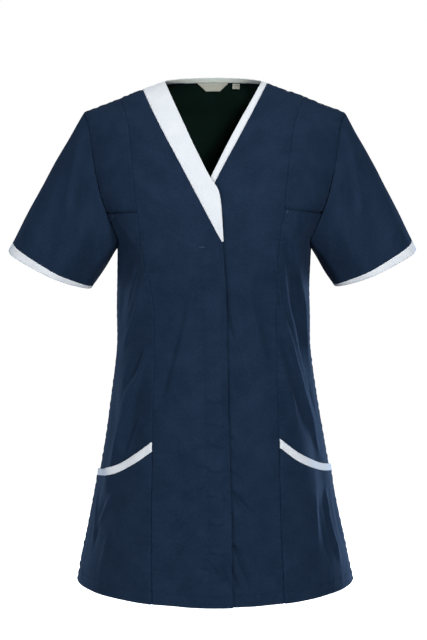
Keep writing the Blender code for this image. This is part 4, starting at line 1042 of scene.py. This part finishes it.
half_across = np.array([0, 0.02, 0.05, 0.09, 0.15, 0.24, 0.33, 0.42, 0.5])
across = np.concatenate([half_across, 1 - half_across[-2::-1]])
outer_edge = strip_edge(band_outer, BAND_TIP_HEIGHT, -BAND_OUTER_SHOULDER)
inner_edge = strip_edge(band_inner, BAND_TIP_HEIGHT, -NECK_HALF_WIDTH)
band = neck_strip("wide_neck_band", "neck_band", outer_edge, inner_edge, across, no_lift,
                  (0.041, 0.275), 0.0078)
across = np.array([0, 0.06, 0.13, 0.22, 0.34, 0.48, 0.62, 0.74, 0.84, 0.92, 1.0])
outer_edge = strip_edge(binding_outer, BINDING_OUTER[0][0], BINDING_OUTER_SHOULDER)
inner_edge = strip_edge(binding_inner, BINDING_INNER[0][0], NECK_HALF_WIDTH)
binding = neck_strip("left_neck_binding", "neck_binding_left", inner_edge, outer_edge, across, lap_recess,
                     (0.0104, 0.235), 0.0023)
band_lines = [line_inside(band, edge, EDGE_STITCH, slice(8, None)) for edge in ("first", "last")]
edge_stitches("neck_band_stitches", *band_lines)
edge_stitches("left_neck_binding_stitches", line_inside(binding, "last", EDGE_STITCH))

# Painted shade: the inside of the back neck binding, seen through the neckline, takes a greyer, greener copy
# of the white twill in place of the shade that falls there.
BINDING_SHADE, BINDING_SHADE_PALER = (0.43, 0.47, 0.44), (0.52, 0.56, 0.52)
binding_painted_shade_inside = cloth_material("white_trim_painted_shade_inside", BINDING_SHADE, BINDING_SHADE_PALER, 0.75, 0.30, 0.05, (0.9, 1.0, 0.95))
down = np.array([1.0, 0.9, 0.75, 0.6, 0.45, 0.3, 0.15, 0.05, 0.0])[:, None]
turns = np.linspace(90, 270, 97) + 0 * down
neckline = BACK_NECK_RISE * np.abs(np.cos(np.radians(turns)))
heights = neckline + (neck_edge_height(turns) - neckline) * down
back_binding = cloth_at(turns, heights, 0.00015, thickness=TRIM)
for grid in back_binding[:2]:
    for edge in ("bottom", "first", "last"):
        draw_back(grid, edge)
white_strip("back_neck_binding", "neck_binding_back", back_binding[:2], (0.190, 0.0103),
            (white_twill, binding_painted_shade_inside), area=0.00165)
edge_stitches("back_neck_binding_stitches", line_inside(back_binding, "bottom", EDGE_STITCH))

# The hip pockets: a front of navy twill laid on each side front, caught in the princess seam, the side seam
# and the hem, with a curved mouth bound in white. The mouth stands a little open at its middle.
POCKET_GAPE, GAPE_DEPTH = 0.0026, 0.05
EDGE_SINK, EDGE_ROLL, POCKET_PUCKER, POCKET_PUCKER_REACH = 0.00045, 0.0034, 0.00026, 0.007
# along, right_upper, right_lower, left_upper, left_lower
POCKET_MOUTH = (
    (0.0, -0.5145, -0.5285, -0.5105, -0.5235),
    (0.2, -0.5371, -0.5508, -0.5330, -0.5458),
    (0.4, -0.5552, -0.5672, -0.5486, -0.5606),
    (0.6, -0.5670, -0.5777, -0.5590, -0.5697),
    (0.8, -0.5738, -0.5838, -0.5660, -0.5760),
    (1.0, -0.5795, -0.5893, -0.5722, -0.5820),
)
mouth_curves = table_curves(POCKET_MOUTH)


def at_heights(grid, of_points, wanted):
    """Rows of a grid of vectors, taken up each column at the wanted heights of its points."""
    rows = np.empty((len(wanted), grid.shape[1], 3))
    for column in range(grid.shape[1]):
        for k in range(3):
            rows[:, column, k] = np.interp(wanted[:, column], of_points[:, column, 2], grid[:, column, k])
    return rows


for side_name in SIDES:
    shares, (panel, _, panel_normals) = side_fronts[side_name]
    upper, lower = mouth_curves[:2] if side_name == "right" else mouth_curves[2:]
    mouth_height, trim_edge = upper(1 - shares), lower(1 - shares)
    common = int(np.sum(panel[:, 0, 2] < trim_edge.min() - 0.008))
    up = np.array([*np.linspace(0, 1, 17)[1:-1], 0.985, 1.0])[:, None]
    tape_up = np.array([0.08, 0.16, 0.28, 0.42, 0.56, 0.70, 0.82, 0.92, 1.0])[:, None]
    base = panel[common - 1, :, 2]
    above = base + (trim_edge - base) * up, trim_edge + (mouth_height - trim_edge) * tape_up
    wanted = np.concatenate([panel[:common, :, 2], *above])
    normals = unit(at_heights(panel_normals, panel, wanted))
    near_mouth = smooth_step(1 - (mouth_height - wanted) / GAPE_DEPTH)
    gape = POCKET_GAPE * near_mouth * np.sin(math.pi * (0.12 + 0.76 * shares))
    outer = at_heights(panel, panel, wanted) + (CLOTH + SEAM_GAP + gape)[..., None] * normals
    to_seam = np.minimum(distance_from(outer, "first"), distance_from(outer, "last"))
    sunk = EDGE_SINK * (1 - smooth_step(to_seam / EDGE_ROLL))
    ripple = 1 + np.sin(outer[..., 2] / 0.0021 + 2 * np.sin(outer[..., 2] / 0.017))
    bite = np.exp(-to_seam / POCKET_PUCKER_REACH) * smooth_step(to_seam / PUCKER_START)
    puckers = POCKET_PUCKER * ripple * bite
    outer = outer + (puckers - sunk)[..., None] * normals
    inner = outer - (CLOTH - sunk)[..., None] * normals
    last_row = common + len(up)
    cloth = outer[:last_row], inner[:last_row], normals[:last_row]
    pocket, under = f"{side_name}_hip_pocket", [f"{side_name}_side_front"]
    navy_panel(pocket, f"pocket_{side_name}", cloth, (0.185, 0.245), 0.0375, rests_on=under)
    hem_stitches(f"{pocket}_stitches", cloth)
    tape, tape_normals = outer[last_row - 1:], normals[last_row - 1:]
    gone = steps_along(tape, 0)
    wobble = 0.00012 * pucker_wave(tape[..., 0]) * np.exp(-gone / TAPE_PUCKER_REACH)
    face = tape + (tape_crown(gone, gone[-1:]) + wobble)[..., None] * tape_normals
    back = inner[last_row - 1:] - (TRIM - CLOTH) * tape_normals
    for grid in (face, back):
        grid[0] += SEAM_GAP * unit(tape[1] - tape[0])
    name, node = f"{side_name}_pocket_binding", f"pocket_binding_{side_name}"
    white_strip(name, node, (face, back), (0.150, 0.0115), rests_on=[pocket], area=0.00150)
    edge_stitches(f"{name}_stitches", line_inside((face, None, tape_normals), "bottom", EDGE_STITCH))

# The labels: two bare woven satin labels, caught under the binding inside the back neck. The main one is
# cut to a taper, the small one is a plain tab for a size.
LABEL_CLOTH, LABEL_GAP, LABEL_BELOW = 0.0010, 0.0009, 0.0004
# name, node, centre_x, half_width at the top, half_width at the bottom, drop, flat size, flat area
LABELS = (
    ("bare_neck_label", "neck_label", -0.0010, 0.0236, 0.0106, 0.0115, (0.0475, 0.0118), 0.00042),
    ("bare_size_tab", "size_label", 0.0345, 0.0052, 0.0052, 0.0072, (0.0106, 0.0100), 0.000106),
)
SATIN, SATIN_PALER = (0.40, 0.41, 0.35), (0.47, 0.48, 0.41)
satin = cloth_material("label_satin", SATIN, SATIN_PALER, 0.52, 0.25, 0.10, (1.0, 1.0, 0.9))
share, across = np.linspace(1, 0, 14)[:, None], np.linspace(-1, 1, 25)[None, :]
curl = -0.0004 * share**2 * (0.4 + 0.6 * across**2)
for name, node, middle_x, top_half, bottom_half, drop, flat, area in LABELS:
    x = middle_x + across * between(top_half, bottom_half, share)
    top = neck_edge_height(turn_at(middle_x, 0.0, behind=True)) - LABEL_BELOW
    heights = top - drop * share + 0 * x
    places = turn_at(x, heights, behind=True), heights
    walls = cloth_at(*places, curl - CLOTH - LABEL_GAP, thickness=LABEL_CLOTH)[:2]
    under = ["back_neck_binding"]
    sewn(name, node, "label_cloth", walls, (satin,), flat, held="hung", area=area, rests_on=under)

# The bar tacks: short close rows of thread that stop a seam from tearing. One lies below the tip of the band,
# where the fly's stitches start, and one at the outer end of each chest pocket's mouth.
tack_thread = thread_material("tack_thread", (0.030, 0.048, 0.085))
TACK_LENGTH, SHORT_TACK_LENGTH, TACK_WIDTH = 0.0075, 0.0045, 0.0016
TACK_TURNS, TACK_LIFT = 19, 0.00035
TACK_X = {"right": -0.1440, "left": 0.1040}


def tack(start, end, normal):
    """A zigzag from start to end on the cloth."""
    aside = unit(np.cross(normal, unit(end - start)))
    k = np.arange(TACK_TURNS)[:, None]
    spots = start + (end - start) * k / (TACK_TURNS - 1) + (k % 2 - 0.5) * TACK_WIDTH * aside
    return spots + TACK_LIFT * normal


top_of_fly, row = fly_line[-1], fly_rows.stop - 1
nearest = np.argmin(np.linalg.norm(right_front[0][row] - top_of_fly, axis=-1))
way = unit(right_front[0][row, nearest + 2] - right_front[0][row, nearest - 2])
tacks = [tack(top_of_fly - 0.0005 * way, top_of_fly + TACK_LENGTH * way, right_front[2][row, nearest])]
for side_name in SIDES:
    panel, _, normals = side_fronts[side_name][1]
    column = np.argmin(np.abs(panel[-2, :, 0] - TACK_X[side_name]))
    start, way = panel[-2, column], unit(panel[-6, column] - panel[-2, column])
    tacks.append(tack(start, start + SHORT_TACK_LENGTH * way, normals[-2, column]))
stitch_lines("bar_tacks", tacks, tack_thread, pitch=0.0006, length=0.0011, radius=0.00024)

# The studio: a plain pale floor below the hem, at the height where a wearer would stand, soft white light
# from the front, above and behind, and two low, cool strips behind. None of it is part of the tunic.
FLOOR_HEIGHT = -1.38
bpy.ops.mesh.primitive_grid_add(x_subdivisions=8, y_subdivisions=8, size=60, location=(0, 0, FLOOR_HEIGHT))
floor = bpy.context.object
floor.name = "studio_floor"
pale, tree, shader = new_material("pale_floor")
mottle = new_node(tree, "ShaderNodeTexNoise", {"Scale": 0.8})["Fac"]
to_camera = new_node(tree, "ShaderNodeLightPath")["Is Camera Ray"]
feed(tree, shader, {
    "Base Color": mixed(tree, mottle, (0.62, 0.62, 0.62), (0.66, 0.66, 0.66)),
    "Roughness": 0.9,
    "Specular IOR Level": 0.0,
    "Emission Color": (1, 1, 1, 1),
    "Emission Strength": new_node(tree, "ShaderNodeMath", {0: to_camera, 1: 0.95}, operation="MULTIPLY")[0],
})
floor.data.materials.append(pale)

world = bpy.data.worlds.new("white_studio")
bpy.context.scene.world = world
world.use_nodes = True
tree = world.node_tree
soft = feed(tree, tree.nodes["Background"], {"Color": (0.94, 0.97, 1.0, 1), "Strength": 0.11})
seen = new_node(tree, "ShaderNodeBackground", {"Color": (1, 1, 1, 1), "Strength": 1.0})
to_camera = new_node(tree, "ShaderNodeLightPath")["Is Camera Ray"]
backdrop = {"Fac": to_camera, 1: soft["Background"], 2: seen["Background"]}
either = new_node(tree, "ShaderNodeMixShader", backdrop)["Shader"]
feed(tree, tree.nodes["World Output"], {"Surface": either})
WHITE_LIGHT, COOL_LIGHT = (1.0, 1.0, 1.0), (0.36, 0.60, 1.0)
# name, place, width, height, watts, colour
SOFTBOXES = (
    ("key_softbox", (0.9, -2.5, 0.95), 0.5, 0.5, 82, WHITE_LIGHT),
    ("fill_softbox", (-1.8, -2.0, 0.0), 0.6, 0.6, 27, WHITE_LIGHT),
    ("top_softbox", (0.0, 0.25, 1.9), 1.2, 0.8, 19, WHITE_LIGHT),
    ("back_softbox", (0.3, 2.9, 0.1), 0.9, 1.4, 50, WHITE_LIGHT),
    ("left_rim", (-1.9, 1.6, -0.8), 0.4, 0.9, 27, COOL_LIGHT),
    ("right_rim", (1.9, 1.6, -0.8), 0.4, 0.9, 54, COOL_LIGHT),
)
for name, place, wide, tall, watts, colour in SOFTBOXES:
    light = bpy.data.lights.new(name, "AREA")
    light.shape, light.size, light.size_y = "RECTANGLE", wide, tall
    light.energy, light.color = watts, colour
    lamp = put_in_scene(name, light)
    lamp.location = place
    lamp.rotation_euler = (Vector((0, 0, -0.35)) - Vector(place)).to_track_quat("-Z", "Y").to_euler()

lens = bpy.data.cameras.new("photo_lens")
lens.lens, lens.sensor_width, lens.clip_end = 83.42, 36.0, 100
camera = put_in_scene("photo_camera", lens)
camera.location = (0, -2.2, -0.080)
camera.rotation_euler = Euler((math.radians(90 - 7.07), 0, 0))
bpy.context.scene.camera = camera
bpy.context.scene.view_settings.view_transform = "Standard"
